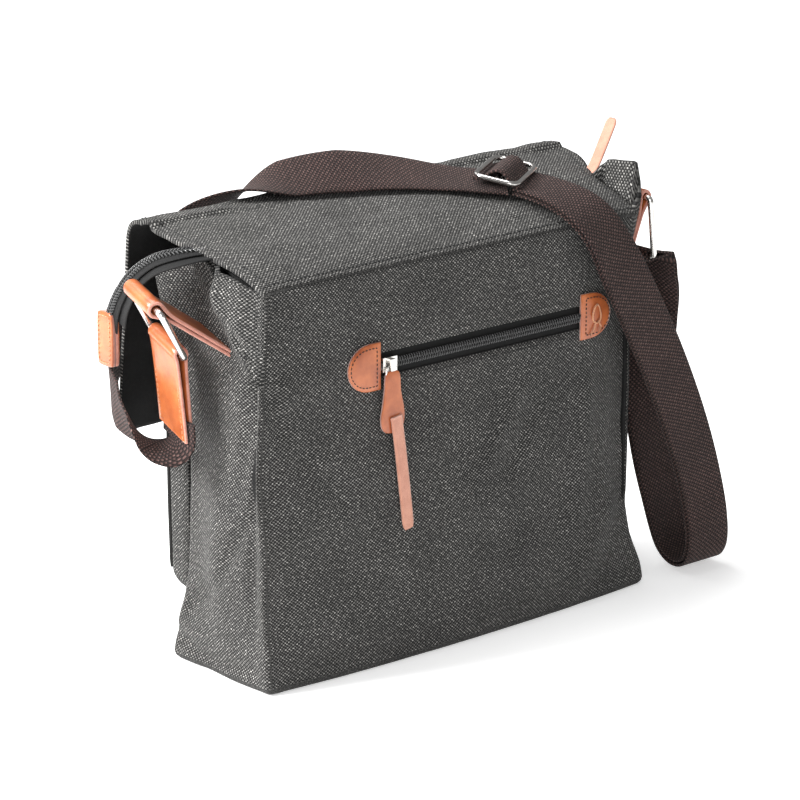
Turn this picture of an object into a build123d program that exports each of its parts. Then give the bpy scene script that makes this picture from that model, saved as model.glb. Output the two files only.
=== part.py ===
from build123d import *
import math
import os

os.makedirs("parts", exist_ok=True)

# Camera bag: a canvas messenger bag.  X runs across it, the front faces -Y, the back faces +Y,
# Z is up and the origin is the middle of the base, on the ground.  Millimetres.


def square_to(axis, vector):
    """The direction nearest to a vector that is square to an axis."""
    return (vector - axis * axis.dot(vector)).normalized()


# Driving dimensions ---------------------------------------------------------------------------
BODY_WIDTH = 334.0
BACK_Y = 53.0
BASE_FRONT_Y = -50.0
SEAM_Z = 270.0
CLOTH = 3.0
CANVAS = 1.6
LINING = 1.2
FOAM = 8.0
WEBBING_WIDTH = 38.0
WEBBING_THICKNESS = 1.9
LEATHER = 2.3
WIRE = 4.4
GAP = 0.3

HALF = BODY_WIDTH / 2
INSIDE = HALF - CLOTH
FLAP_HALF = HALF + 7

# Front wall outline, outside face, bottom to top (y, z)
FRONT = [(BASE_FRONT_Y, CLOTH), (-41, 45), (-39, 150), (-56, 240), (-63.5, 266)]
# Upper edge of each side wall, front to back (y, z)
GUSSET_TOP = [(-40, 277), (-10, 283), (30, 275), (48, 268), (BACK_Y, 262)]
POCKET_FACE_Y = -66.0
POCKET_BOTTOM_Z = 46.0
POCKET_TOP_Z = 212.0
POCKET_HALF = 150.0
SNAP_X = 85.0
SNAP_RADIUS = 9.0
SOCKET_Z = 172.0
STUD_Z = 182.0

# Flap: underside outline from the back seam to the ridge, then down the front (y, z)
FLAP_HINGE = (BACK_Y, SEAM_Z + 1.5)
FLAP_RIDGE = (-68.0, 294.0)
FLAP_CROWN = (-8.0, 288.0)
FLAP_HEM = (-93.0, 148.0)

# Top closure: two panels that meet at the main zipper
ZIP_Y = -6.0
ZIP_Z = 262.0
ZIP_BACK_HINGE = (46.5, 266.5)
ZIP_FRONT_HINGE = (-58.0, 265.5)
ZIP_MOVING_HALF = 125.0
TAPE = 13.0
COIL = 2.4
CLOSURE_CLOTH = 1.8
MAIN_SLIDER_X = -150.0

# Back pocket
SLIT_Z = 206.0
SLIT_HEIGHT = 22.0
SLIT_LEFT_X = 72.0
SLIT_RIGHT_X = -109.0
POUCH_Y = 41.5
POUCH_DEPTH = 8.0

# Strap fittings: root, direction away from the bag and direction across, at each end
TAB_LENGTH = 50.0
RING_LENGTH = 42.0
RING_WIDTH = WEBBING_WIDTH + 2 + WIRE
LEFT_ACROSS = Vector(-0.13, -0.958, 0.259).normalized()
LEFT_TAB_OUT = Vector(0.78, -0.27, 0.56).normalized()
LEFT_LOOP = Vector(206.5, -17.7, 259.9)
LEFT_RING_DOWN = square_to(LEFT_ACROSS, Vector(-0.54, -0.075, -0.84))
LEFT_END_DOWN = Vector(-0.045, 0.07, -0.996).normalized()
LEFT_END_LENGTH = 58.0
RIGHT_ACROSS = Vector(0, -1, 0)
RIGHT_TAB_OUT = Vector(-0.36, 0, 0.933).normalized()
RIGHT_LOOP = Vector(-181.5, 23, 276)
RIGHT_RING_DOWN = Vector(-0.11, 0, -0.994).normalized()
RIGHT_TAB_LENGTH = 34.0

# Strap route: centre line point, then the direction that its printed face looks
STRAP_FRONT = [
    ((181, -16, 161), (-1, 0.1, 0)),
    ((185, -18, 152), (-0.6, 0, -0.8)),
    ((193, -26, 151), (0.2, -0.2, -1)),
    ((197, -46, 168), (0.9, -0.2, -0.3)),
    ((191, -70, 175), (0.9, -0.5, -0.1)),
    ((179, -95, 185), (0.7, -0.7, 0)),
    ((158, -108, 214), (0.3, -0.95, 0)),
    ((132, -104, 250), (0.1, -1, 0.1)),
    ((108, -92, 282), (-0.1, -0.9, 0.4)),
    ((86, -74, 301), (0, -0.4, 0.9)),
    ((56, -60, 308), (0, 0.45, 0.9)),
    ((14, -50, 309), (0.05, 0.6, 0.8)),
    ((-24, -38, 304), (0.1, 0.4, 0.9)),
    ((-56, -20, 297.5), (0, 0.25, 0.97)),
    ((-86, 2, 294), (0, 0.25, 0.97)),
]
STRAP_DOUBLE = [
    ((-92, 13, 294.5), (0, 0.25, 0.97)),
    ((-102, 35, 291.6), (0, 0.35, 0.93)),
    ((-115, 62, 275.5), (0, 0.75, 0.65)),
    ((-134, 68, 237), (0, 1, 0.1)),
    ((-157, 67, 199), (0, 1, 0)),
    ((-181, 66, 156), (0, 1, 0)),
    ((-202, 66, 110), (0, 1, 0)),
    ((-217, 66, 67), (0, 1, 0)),
    ((-225, 66, 32), (0, 1, -0.1)),
    ((-228, 60, 9), (0, 0.7, -0.7)),
    ((-228, 45, 4.2), (0, -0.1, -1)),
    ((-227, 31, 15), (0, -0.9, -0.4)),
    ((-221, 22, 50), (0.1, -1, 0)),
    ((-214, 16, 95), (0, -1, 0)),
    ((-212, 13, 140), (-0.3, -0.95, 0)),
    ((-215, 15, 181), (-0.7, -0.7, 0.1)),
    ((-212, 20, 216), (-0.9, -0.2, 0.4)),
    ((-205.5, 23, 229.8), (-0.3, 0, 0.95)),
]
LAYER_OFFSET = 1.7
SECTIONS_PER_RUN = 4


# Helpers --------------------------------------------------------------------------------------
def save(shape, name):
    """Write one sub-part."""
    export_step(shape, f"parts/{name}.step")


def prism_x(outline, x_from, x_to):
    """A solid with a closed (y, z) outline, from one x to another."""
    face = Plane.YZ * make_face(Polyline(*outline, close=True))
    return Pos(x_from, 0, 0) * extrude(face, amount=x_to - x_from)


def prism_y(outline, y_from, y_to):
    """A solid with a closed (x, z) outline, from one y to a higher one."""
    plane = Plane((0, y_to, 0), x_dir=(1, 0, 0), z_dir=(0, -1, 0))
    return extrude(plane * make_face(Polyline(*outline, close=True)), amount=y_to - y_from)


def block(x_range, y_range, z_range):
    """A box between two corners."""
    size = [b - a for a, b in (x_range, y_range, z_range)]
    middle = [(a + b) / 2 for a, b in (x_range, y_range, z_range)]
    return Pos(*middle) * Box(*size)


def shifted(outline, dy, dz=0.0):
    """An open (y, z) outline moved by dy and dz."""
    return [(y + dy, z + dz) for y, z in outline]


def band(outline, thickness):
    """A closed outline: an open (y, z) line and the same line set off to its left."""
    offset = []
    for i, (y, z) in enumerate(outline):
        before = outline[max(i - 1, 0)]
        after = outline[min(i + 1, len(outline) - 1)]
        dy, dz = after[0] - before[0], after[1] - before[1]
        length = math.hypot(dy, dz)
        offset.append((y - thickness * dz / length, z + thickness * dy / length))
    return list(outline) + offset[::-1]


def oblique_plate(origin, along, across, outline, width):
    """A folded strip: an (along, out) outline drawn through the origin, pushed across by the width."""
    normal = along.cross(across).normalized()
    plane = Plane(origin - across * (width / 2), x_dir=along, z_dir=along.cross(normal))
    side = 1 if plane.to_local_coords(plane.origin + normal).Y > 0 else -1
    points = [(a, side * b) for a, b in outline]
    return extrude(plane * make_face(Polyline(*points, close=True)), amount=width, dir=across)


def wire_ring(centre, down, across, length, width, wire, corner=3.0):
    """A rounded rectangular ring of round wire, hanging from its upper bar's middle."""
    middle = centre + down * (length / 2)
    plane = Plane(middle, x_dir=across, z_dir=down.cross(across))
    path = plane * RectangleRounded(width, length, corner).wire()
    start = path @ 0
    section = Plane(start, z_dir=path % 0) * Circle(wire / 2)
    return sweep(section, path=path)


def corners(points):
    """For each corner of a route: the largest radius it takes, its turn and how far back its arc starts."""
    found = []
    for a, b, c in zip(points, points[1:], points[2:]):
        before, after = Vector(b) - Vector(a), Vector(c) - Vector(b)
        turn = math.radians(before.get_angle(after))
        setback = 0.45 * min(before.length, after.length)
        found.append((setback / math.tan(turn / 2), turn, setback))
    return found


def corner_marks(points, bends):
    """How far along the rounded path, from 0 to 1, each point of its route comes."""
    marks = [0.0]
    setback_before, half_arc_before = 0.0, 0.0
    for (a, b), (radius, turn, setback) in zip(zip(points, points[1:]), bends + [(0.0, 0.0, 0.0)]):
        straight = (Vector(b) - Vector(a)).length - setback_before - setback
        half_arc = radius * turn / 2
        marks.append(marks[-1] + half_arc_before + straight + half_arc)
        setback_before, half_arc_before = setback, half_arc
    return [mark / marks[-1] for mark in marks]


def ribbon(route, offset, label, width=WEBBING_WIDTH, thickness=WEBBING_THICKNESS):
    """Webbing along a route of (point, face direction), set off along its face direction."""
    points = [p for p, _ in route]
    bends = corners(points)
    path = FilletPolyline(*points, radius=[radius for radius, _, _ in bends])
    faces = [Vector(n).normalized() for _, n in route]
    marks = corner_marks(points, bends)
    sections = []
    for i in range(len(points) - 1):
        for step in range(SECTIONS_PER_RUN):
            share = step / SECTIONS_PER_RUN
            at = marks[i] + (marks[i + 1] - marks[i]) * share
            face = faces[i] * (1 - share) + faces[i + 1] * share
            sections.append(section(path, at, face, offset, width, thickness))
    sections.append(section(path, 1.0, faces[-1], offset, width, thickness))
    solid = loft(sections, ruled=True)
    fill = solid.volume / (path.length * width * thickness)
    print(label, "length", round(path.length), "volume over length times section", round(fill, 3))
    print("  radii", [round(radius) for radius, _, _ in bends])
    return solid


def section(path, at, face, offset, width, thickness):
    """The webbing's rectangle at one place on its path."""
    tangent = path % at
    normal = (face - tangent * face.dot(tangent)).normalized()
    plane = Plane((path @ at) + normal * offset, x_dir=normal.cross(tangent), z_dir=tangent)
    return plane * Rectangle(width, thickness)


# Bag body -------------------------------------------------------------------------------------
def make_body():
    """The canvas walls, each one panel of cloth."""
    slit_z = (SLIT_Z - SLIT_HEIGHT / 2, SLIT_Z + SLIT_HEIGHT / 2)
    slit = block((SLIT_RIGHT_X, SLIT_LEFT_X), (BACK_Y - 2 * CLOTH, BACK_Y + CLOTH), slit_z)
    save(block((-INSIDE, INSIDE), (BACK_Y - CLOTH, BACK_Y), (CLOTH, SEAM_Z)) - slit, "back_panel")
    save(prism_x(FRONT + shifted(FRONT, CLOTH)[::-1], -INSIDE, INSIDE), "front_panel")
    save(block((-INSIDE, INSIDE), (BASE_FRONT_Y, BACK_Y), (0, CLOTH)), "bottom_panel")
    gusset = FRONT + GUSSET_TOP + [(BACK_Y, 0), (BASE_FRONT_Y, 0)]
    save(prism_x(gusset, INSIDE, HALF), "gusset_left")
    save(prism_x(gusset, -HALF, -INSIDE), "gusset_right")


def make_insert():
    """The stiff base board and the padded insert that holds the camera."""
    board_top = CLOTH + 2.5
    floor_top = board_top + 6.5
    wall_top = 170.0
    front, back = -35.0, POUCH_Y - 1
    half = 158.0
    save(block((-half, half), (-44, 46), (CLOTH, board_top)), "base_board")
    save(block((-half, half), (front, back), (board_top, floor_top)), "insert_floor")
    save(block((-half, half), (back - FOAM, back), (floor_top, wall_top)), "insert_back_wall")
    save(block((-half, half), (front, front + FOAM), (floor_top, wall_top)), "insert_front_wall")
    inner = (front + FOAM, back - FOAM)
    save(block((half - FOAM, half), inner, (floor_top, wall_top)), "insert_left_wall")
    save(block((-half, FOAM - half), inner, (floor_top, wall_top)), "insert_right_wall")
    for name, x in (("divider_left", 50.0), ("divider_right", -50.0)):
        clear = (inner[0] + GAP, inner[1] - GAP)
        save(block((x - FOAM / 2, x + FOAM / 2), clear, (floor_top + GAP, 150)), name)


def make_front_pocket():
    """The box pocket on the front wall, open at the top, and its two magnetic snaps."""
    wall = 2.0
    disc_height = 1.6
    top, bottom = POCKET_TOP_Z, POCKET_BOTTOM_Z
    sewn_edge = [(-41.1, bottom), (-39.1, 150), (-50.85, top)]
    outside = [(POCKET_FACE_Y, bottom), *sewn_edge, (POCKET_FACE_Y, top)]
    body = prism_x(outside, -POCKET_HALF, POCKET_HALF)
    inside = POCKET_HALF - wall
    hollow = block((-inside, inside), (POCKET_FACE_Y + wall, -20), (bottom + wall, top + 5))
    save(body - hollow, "front_pocket")
    for name, x in (("snap_socket_left", SNAP_X), ("snap_socket_right", -SNAP_X)):
        disc = Plane((x, POCKET_FACE_Y, SOCKET_Z), z_dir=(0, -1, 0)) * Circle(SNAP_RADIUS)
        collar = Circle(SNAP_RADIUS) - Circle(SNAP_RADIUS / 2)
        rim = Plane((x, POCKET_FACE_Y - disc_height, SOCKET_Z), z_dir=(0, -1, 0)) * collar
        save(extrude(disc, amount=disc_height) + extrude(rim, amount=2.2), name)


# Flap -----------------------------------------------------------------------------------------
def make_flap():
    """The flap's top and front, canvas outside and lining inside, with its snaps' upper halves."""
    top = [FLAP_HINGE, (24, 281), FLAP_CROWN, (-40, 292.5), (FLAP_RIDGE[0] + 1, FLAP_RIDGE[1])]
    save(prism_x(band(top[::-1], LINING), -FLAP_HALF + 2, FLAP_HALF - 2), "flap_top_lining")
    lifted = shifted(top, 0, LINING + 0.1)
    save(prism_x(band(lifted[::-1], CANVAS), -FLAP_HALF, FLAP_HALF), "flap_top")
    front = [(FLAP_RIDGE[0] - 1.5, FLAP_RIDGE[1] - 1), (-76, 270), (-84, 215), FLAP_HEM]
    save(prism_x(band(front[::-1], LINING), -FLAP_HALF + 2, FLAP_HALF - 2), "flap_front_lining")
    pushed = shifted(front, -LINING - 0.05)
    save(prism_x(band(pushed[::-1], CANVAS), -FLAP_HALF, FLAP_HALF), "flap_front")
    for name, x in (("snap_stud_left", SNAP_X), ("snap_stud_right", -SNAP_X)):
        plane = Plane((x, -88.38, STUD_Z), z_dir=(0, 0.991, -0.133))
        disc = extrude(plane * Circle(SNAP_RADIUS), amount=1.4)
        save(disc + extrude(plane * Circle(4), amount=3.2), name)


# Top closure ----------------------------------------------------------------------------------
def closure_line(hinge, y):
    """Height of a closure panel's upper face at a place across the bag."""
    share = (y - hinge[0]) / (ZIP_Y - hinge[0])
    return hinge[1] + (ZIP_Z - hinge[1]) * share


def closure_outline(hinge, y_from, y_to, thickness):
    """A closure panel's outline between two places across the bag."""
    top = [(y, closure_line(hinge, y)) for y in (y_from, y_to)]
    return top + shifted(top, 0, -thickness)[::-1]


def make_closure():
    """Panels, zipper tapes and coils of the top closure; the middle stretch folds open."""
    stretch = (-ZIP_MOVING_HALF, ZIP_MOVING_HALF)
    for side, hinge, sign in (("back", ZIP_BACK_HINGE, 1), ("front", ZIP_FRONT_HINGE, -1)):
        edge = ZIP_Y + sign * 0.2
        seam = ZIP_Y + sign * TAPE
        panel = closure_outline(hinge, hinge[0], seam, CLOSURE_CLOTH)
        tape = closure_outline(hinge, seam - sign * 0.02, edge, 1.0)
        save(prism_x(panel, *stretch), f"zip_panel_{side}")
        save(prism_x(tape, *stretch), f"main_zip_tape_{side}")
        low = max(closure_line(hinge, edge), closure_line(hinge, edge + sign * COIL))
        coil_y = sorted((edge, edge + sign * COIL))
        save(block(stretch, coil_y, (low + 0.02, low + COIL)), f"main_zip_coil_{side}")
    outer_edge = INSIDE - 0.7
    for name, x_from, x_to in (
        ("zip_end_left", ZIP_MOVING_HALF + GAP, outer_edge),
        ("zip_end_right", -outer_edge, -ZIP_MOVING_HALF - GAP),
    ):
        outline = closure_outline(ZIP_BACK_HINGE, ZIP_BACK_HINGE[0], ZIP_Y, CLOSURE_CLOTH)
        back = prism_x(outline, x_from, x_to)
        outline = closure_outline(ZIP_FRONT_HINGE, ZIP_FRONT_HINGE[0], ZIP_Y, CLOSURE_CLOTH)
        front = prism_x(outline, x_from, x_to)
        coil = block((x_from, x_to), (ZIP_Y - COIL - 0.2, ZIP_Y + COIL + 0.2), (ZIP_Z - 1, ZIP_Z + COIL))
        save(back + front + coil, name)
    tail = [
        ((INSIDE, ZIP_Y, 284.8), (0, 0, 1)),
        ((178, -15, 284.6), (0.2, 0.1, 1)),
        ((188, -34, 278), (0.6, -0.1, 0.8)),
        ((192, -53, 264), (0.8, -0.3, 0.5)),
        ((192, -69, 246), (1, -0.2, 0.3)),
        ((191, -77, 233), (1, -0.1, 0)),
    ]
    save(ribbon(tail, 0.0, "zip tail", 14, 3.2), "zip_tail")
    end_tab = block((187.5, 194.5), (-86, -70), (201, 237))
    save(end_tab - block((189.0, 193.0), (-88, -68), (229, 240)), "zip_end_tab")


def make_main_slider():
    """The main zipper's slider, which rides over the coil, and its suede strip."""
    x = MAIN_SLIDER_X
    top = ZIP_Z + 4.1
    body = block((x - 6, x + 6), (ZIP_Y - 4.4, ZIP_Y + 4.4), (top - 1.2, top))
    for sign in (-1, 1):
        sides = sorted((ZIP_Y + sign * 3.6, ZIP_Y + sign * 4.4))
        body += block((x - 6, x + 6), sides, (top - 3.5, top - 0.6))
    arch = block((x - 4, x + 4), (ZIP_Y - 1.2, ZIP_Y + 1.2), (top - 0.1, top + 2.9))
    body += arch - block((x - 2.8, x + 2.8), (ZIP_Y - 3, ZIP_Y + 3), (top, top + 2.0))
    save(body, "main_zip_slider")
    under = [(x - 4.3, top + 0.2), (-158.6, top + 2), (-163, 283.8), (-178, 285.6), (-185, 295), (-195, 322)]
    over = [(x - 4.3, top + 1.7), (-157.6, top + 3.2), (-161.9, 285.3), (-177.2, 287.1)]
    over += [(-183.6, 295.6), (-193.6, 322.6)]
    save(prism_y(under + over[::-1], ZIP_Y - 5, ZIP_Y + 5), "main_pull_strip")


# Back pocket ----------------------------------------------------------------------------------
def make_back_pocket():
    """Zipped pocket in the back wall: hidden pouch, tapes, coil, end patches, slider and pull."""
    wall = 1.2
    half, low, high = 95.0, 62.0, 222.0
    middle = (SLIT_LEFT_X + SLIT_RIGHT_X) / 2
    front, back = POUCH_Y, POUCH_Y + POUCH_DEPTH
    inside = (middle - half + wall, middle + half - wall)
    pouch = block((middle - half, middle + half), (front, back), (low, high))
    pouch -= block(inside, (front + wall, back - wall), (low + wall, high + 1))
    pouch -= block(inside, ((front + back) / 2, BACK_Y), (SLIT_Z - SLIT_HEIGHT / 2, high + 1))
    save(pouch, "back_pocket_pouch")
    depth = (BACK_Y - 2.2, BACK_Y - 1.0)
    edge = SLIT_HEIGHT / 2
    span = (SLIT_RIGHT_X, SLIT_LEFT_X)
    save(block(span, depth, (SLIT_Z + 0.1, SLIT_Z + edge)), "back_zip_tape_upper")
    save(block(span, depth, (SLIT_Z - edge, SLIT_Z - 0.1)), "back_zip_tape_lower")
    save(block(span, (BACK_Y - 1.0, BACK_Y + 1.2), (SLIT_Z - 2.6, SLIT_Z + 2.6)), "back_zip_coil")
    for name, x, sign in (("patch_left", SLIT_LEFT_X, 1), ("patch_right", SLIT_RIGHT_X, -1)):
        plate = Pos(x + sign * 9.25, 0) * Rectangle(18.5, 32)
        plate += Pos(x + sign * 16, 0) * RectangleRounded(21, 32, 10)
        face = Plane((0, BACK_Y + 0.02, SLIT_Z), x_dir=(1, 0, 0), z_dir=(0, -1, 0))
        save(extrude(face * plate, amount=-1.9), name)


def make_back_slider():
    """The back zipper's slider and the leather and suede pull on its wire ring."""
    x, y, z = 64.0, BACK_Y + 1.5, SLIT_Z
    body = block((x - 6, x + 6), (y, y + 1.3), (z - 4.8, z + 4.8))
    for sign in (-1, 1):
        body += block((x - 6, x + 6), (BACK_Y - 0.7, y + 0.5), sorted((z + sign * 3.6, z + sign * 4.8)))
    arch = block((x - 2, x + 2), (y + 1.2, y + 4.6), (z - 4, z + 4))
    body += arch - block((x - 4, x + 4), (y + 1.3, y + 3.4), (z - 2.6, z + 2.6))
    save(body, "back_zip_slider")
    centre = Vector(x, y + 2.35, z - 1.2)
    ring = wire_ring(centre, Vector(0, 0, -1), Vector(1, 0, 0), 8.0, 8.5, 1.3, 2.5)
    save(ring, "back_pull_ring")
    top = z - 9.2
    bar_y = y + 2.35
    eye = Plane((x - 1, y + 1.2, 0), x_dir=(1, 0, 0), z_dir=(0, -1, 0))
    outline = [(-2, top - 1.6), (4, top - 1.6), (6, top - 6), (6, top - 16)]
    outline += [(10, top - 30), (8.5, top - 36), (-8.5, top - 36), (-10, top - 30)]
    outline += [(-6, top - 16), (-4, top - 6)]
    leather = extrude(eye * make_face(Polyline(*outline, close=True)), amount=-LEATHER)
    leather += block((x - 2.9, x + 2.9), (bar_y - 2.3, bar_y + 2.3), (top - 2.3, top + 2.3))
    leather -= block((x - 5, x + 5), (bar_y - 1.1, bar_y + 1.1), (top - 1.1, top + 1.1))
    save(leather, "back_pull_leather")
    strip = [(x - 6, top - 26), (x + 3.5, top - 27)]
    strip += [(x - 5.5, top - 106), (x - 9, top - 110), (x - 14, top - 106)]
    save(prism_y(strip, y + 1.2 + LEATHER + 0.02, y + 1.2 + LEATHER + 1.8), "back_pull_strip")


# Strap fittings -------------------------------------------------------------------------------
def loop_outline(length, root_gap, inner_radius, thickness=LEATHER):
    """A strip folded round a bar at 0 and closed again at -length, as an (along, out) outline."""
    outer = inner_radius + thickness
    steps = [math.radians(a) for a in range(-120, 121, 20)]
    arc = [(outer * math.cos(a), outer * math.sin(a)) for a in steps]
    inner = [(inner_radius * math.cos(a), inner_radius * math.sin(a)) for a in steps]
    flat = root_gap / 2
    pinch = -3 * inner_radius
    upper = [(-length, flat + thickness), (-length, flat), (pinch, flat)]
    lower = [(pinch, -flat), (-length, -flat), (-length, -flat - thickness)]
    return arc + upper + inner[::-1] + lower


def make_left_end():
    """Leather tab, ring and the strap's leather end on the +X side."""
    tab = loop_outline(TAB_LENGTH, 0.1, WIRE / 2 + 1.3)
    save(oblique_plate(LEFT_LOOP, LEFT_TAB_OUT, LEFT_ACROSS, tab, WEBBING_WIDTH - 5), "tab_left")
    save(wire_ring(LEFT_LOOP, LEFT_RING_DOWN, LEFT_ACROSS, RING_LENGTH, RING_WIDTH, WIRE), "ring_left")
    low_bar = LEFT_LOOP + LEFT_RING_DOWN * RING_LENGTH
    end = loop_outline(LEFT_END_LENGTH, WEBBING_THICKNESS + 0.3, WIRE / 2 + 0.9)
    leather = oblique_plate(low_bar, LEFT_END_DOWN * -1, LEFT_ACROSS, end, WEBBING_WIDTH - 2)
    save(leather, "strap_end_leather")


def make_right_end():
    """Leather tab and ring on the -X side, where the webbing loops straight through."""
    tab = loop_outline(RIGHT_TAB_LENGTH, 0.1, WIRE / 2 + 0.9)
    save(oblique_plate(RIGHT_LOOP, RIGHT_TAB_OUT, RIGHT_ACROSS, tab, WEBBING_WIDTH - 1), "tab_right")
    save(wire_ring(RIGHT_LOOP, RIGHT_RING_DOWN, RIGHT_ACROSS, RING_LENGTH, RING_WIDTH, WIRE), "ring_right")
    low_bar = RIGHT_LOOP + RIGHT_RING_DOWN * RING_LENGTH
    turn = loop_outline(12.5, 2 * LAYER_OFFSET - WEBBING_THICKNESS, WIRE / 2 + 0.6, WEBBING_THICKNESS)
    save(oblique_plate(low_bar, Vector(0.97, 0, 0.24), RIGHT_ACROSS, turn, WEBBING_WIDTH - 1), "strap_turn")


def make_strap():
    """Webbing from the left ring over the flap to the adjuster, then doubled to the right ring."""
    save(ribbon(STRAP_FRONT, 0.0, "strap front"), "strap_front")
    save(ribbon(STRAP_DOUBLE, LAYER_OFFSET, "strap outer"), "strap_outer")
    save(ribbon(STRAP_DOUBLE, -LAYER_OFFSET, "strap inner"), "strap_inner")


def make_adjuster():
    """The wire slider that sets the strap's length, with its centre bar."""
    centre = Vector(-86, 2, 302.4)
    along = Vector(-0.49, 0.86, -0.16).normalized()
    bars = Vector(-0.86, -0.5, 0.08)
    bars = (bars - along * bars.dot(along)).normalized()
    frame = wire_ring(centre - along * 15, along, bars, 30.0, 44.0, 3.6, 6.0)
    save(frame, "adjuster_frame")
    across = Plane(centre - bars * 19.8, z_dir=bars)
    bar = extrude(across * Circle(1.6), amount=39.6)
    save(bar, "adjuster_bar")


make_body()
make_insert()
make_front_pocket()
make_flap()
make_closure()
make_main_slider()
make_back_pocket()
make_back_slider()
make_left_end()
make_right_end()
make_strap()
make_adjuster()
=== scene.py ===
import math

import bpy
import numpy as np
from mathutils import Matrix, Vector, noise


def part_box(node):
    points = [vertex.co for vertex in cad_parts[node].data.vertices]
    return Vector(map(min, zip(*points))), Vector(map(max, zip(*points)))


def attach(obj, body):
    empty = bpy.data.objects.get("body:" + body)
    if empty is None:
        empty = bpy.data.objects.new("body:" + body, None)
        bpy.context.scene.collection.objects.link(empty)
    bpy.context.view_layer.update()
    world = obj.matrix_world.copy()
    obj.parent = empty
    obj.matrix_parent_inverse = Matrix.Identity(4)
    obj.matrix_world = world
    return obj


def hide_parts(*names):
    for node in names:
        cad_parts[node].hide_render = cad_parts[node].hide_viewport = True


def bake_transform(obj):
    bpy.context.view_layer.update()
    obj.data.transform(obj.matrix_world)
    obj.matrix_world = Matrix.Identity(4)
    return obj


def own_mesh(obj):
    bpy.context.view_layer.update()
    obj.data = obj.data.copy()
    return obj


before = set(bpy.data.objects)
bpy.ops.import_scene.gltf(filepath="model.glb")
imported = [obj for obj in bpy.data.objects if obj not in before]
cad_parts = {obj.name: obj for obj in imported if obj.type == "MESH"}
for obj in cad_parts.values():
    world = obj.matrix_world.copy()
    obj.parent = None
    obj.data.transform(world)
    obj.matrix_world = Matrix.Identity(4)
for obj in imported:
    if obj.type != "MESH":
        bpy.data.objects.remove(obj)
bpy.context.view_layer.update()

# X runs across the bag, the front faces -Y, the zipped back faces +Y, Z is up.  The frame is in metres;
# the shapes of cloth, zippers and their reliefs are worked out in mm and multiplied by MM at the end.
MM = 0.001
TO_BACK = (0.0, 1.0, 0.0)
FINE_THREAD = 0.00036

# Camera ---------------------------------------------------------------------------------------
VIEW_AZIMUTH = math.radians(138.96)
VIEW_ELEVATION = math.radians(16.53)
VIEW_DISTANCE = 2.4539
VIEW_TARGET = Vector((0, 0, 0.130))
VIEW_RIGHT, VIEW_UP = -0.00534, 0.02571
LENS = 163.4


def make_camera():
    """The camera, at the photograph's angle."""
    right = Vector((math.cos(VIEW_AZIMUTH), math.sin(VIEW_AZIMUTH), 0))
    flat = math.cos(VIEW_ELEVATION)
    back = Vector((math.sin(VIEW_AZIMUTH) * flat, -math.cos(VIEW_AZIMUTH) * flat, math.sin(VIEW_ELEVATION)))
    up = back.cross(right)
    data = bpy.data.cameras.new("camera")
    data.lens = LENS
    data.clip_end = 20
    camera = bpy.data.objects.new("camera", data)
    place = VIEW_TARGET + right * VIEW_RIGHT + up * VIEW_UP + back * VIEW_DISTANCE
    turn = Matrix((right, up, back)).transposed().to_4x4()
    camera.matrix_world = Matrix.Translation(place) @ turn
    bpy.context.scene.collection.objects.link(camera)
    bpy.context.scene.camera = camera


# Strap: centre line points, and the direction that the webbing's face looks at each -----------
WEBBING_WIDTH = 0.038
WEBBING_THICKNESS = 0.0019
LAYER_OFFSET = 0.0017
# The ring's wire radius, and the play between the wire and the webbing that turns round it.
RING_WIRE, RING_SLACK = 0.0022, 0.0006
STRAP_FRONT = [
    ((0.1818, -0.0165, 0.176), (-1, 0.1, 0)),
    ((0.181, -0.016, 0.165), (-1, 0.1, 0)),
    ((0.183, -0.018, 0.157), (-0.75, 0.05, -0.65)),
    ((0.191, -0.028, 0.155), (0.05, -0.15, -1)),
    ((0.197, -0.046, 0.166), (0.8, -0.25, -0.5)),
    ((0.192, -0.070, 0.175), (0.95, -0.3, -0.1)),
    ((0.179, -0.095, 0.185), (0.7, -0.7, 0)),
    ((0.158, -0.108, 0.214), (0.3, -0.95, 0)),
    ((0.132, -0.104, 0.250), (0.1, -1, 0.1)),
    ((0.108, -0.092, 0.282), (-0.1, -0.9, 0.4)),
    ((0.086, -0.074, 0.301), (0, -0.4, 0.9)),
    ((0.056, -0.060, 0.308), (0, 0.45, 0.9)),
    ((0.014, -0.050, 0.309), (0.05, 0.6, 0.8)),
    ((-0.024, -0.038, 0.304), (0.1, 0.4, 0.9)),
    ((-0.056, -0.020, 0.2975), (0, 0.25, 0.97)),
    ((-0.086, 0.002, 0.294), (0, 0.25, 0.97)),
]
STRAP_DOUBLE = [
    ((-0.092, 0.013, 0.2945), (0, 0.25, 0.97)),
    ((-0.102, 0.035, 0.2916), (0, 0.35, 0.93)),
    ((-0.115, 0.062, 0.2755), (0, 0.75, 0.65)),
    ((-0.134, 0.068, 0.237), (0, 1, 0.1)),
    ((-0.157, 0.067, 0.199), (0, 1, 0)),
    ((-0.181, 0.066, 0.156), (0, 1, 0)),
    ((-0.202, 0.066, 0.110), (0, 1, 0)),
    ((-0.217, 0.066, 0.067), (0, 1, 0)),
    ((-0.225, 0.066, 0.032), (0, 1, -0.1)),
    ((-0.228, 0.060, 0.009), (0, 0.7, -0.7)),
    ((-0.228, 0.045, 0.0042), (0, -0.1, -1)),
    ((-0.227, 0.031, 0.015), (0, -0.9, -0.4)),
    ((-0.221, 0.022, 0.050), (0.1, -1, 0)),
    ((-0.214, 0.016, 0.095), (0, -1, 0)),
    ((-0.212, 0.013, 0.140), (-0.3, -0.95, 0)),
    ((-0.215, 0.015, 0.181), (-0.7, -0.7, 0.1)),
    ((-0.212, 0.020, 0.216), (-0.9, -0.2, 0.4)),
    ((-0.2055, 0.023, 0.2298), (-0.3, 0, 0.95)),
]


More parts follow.
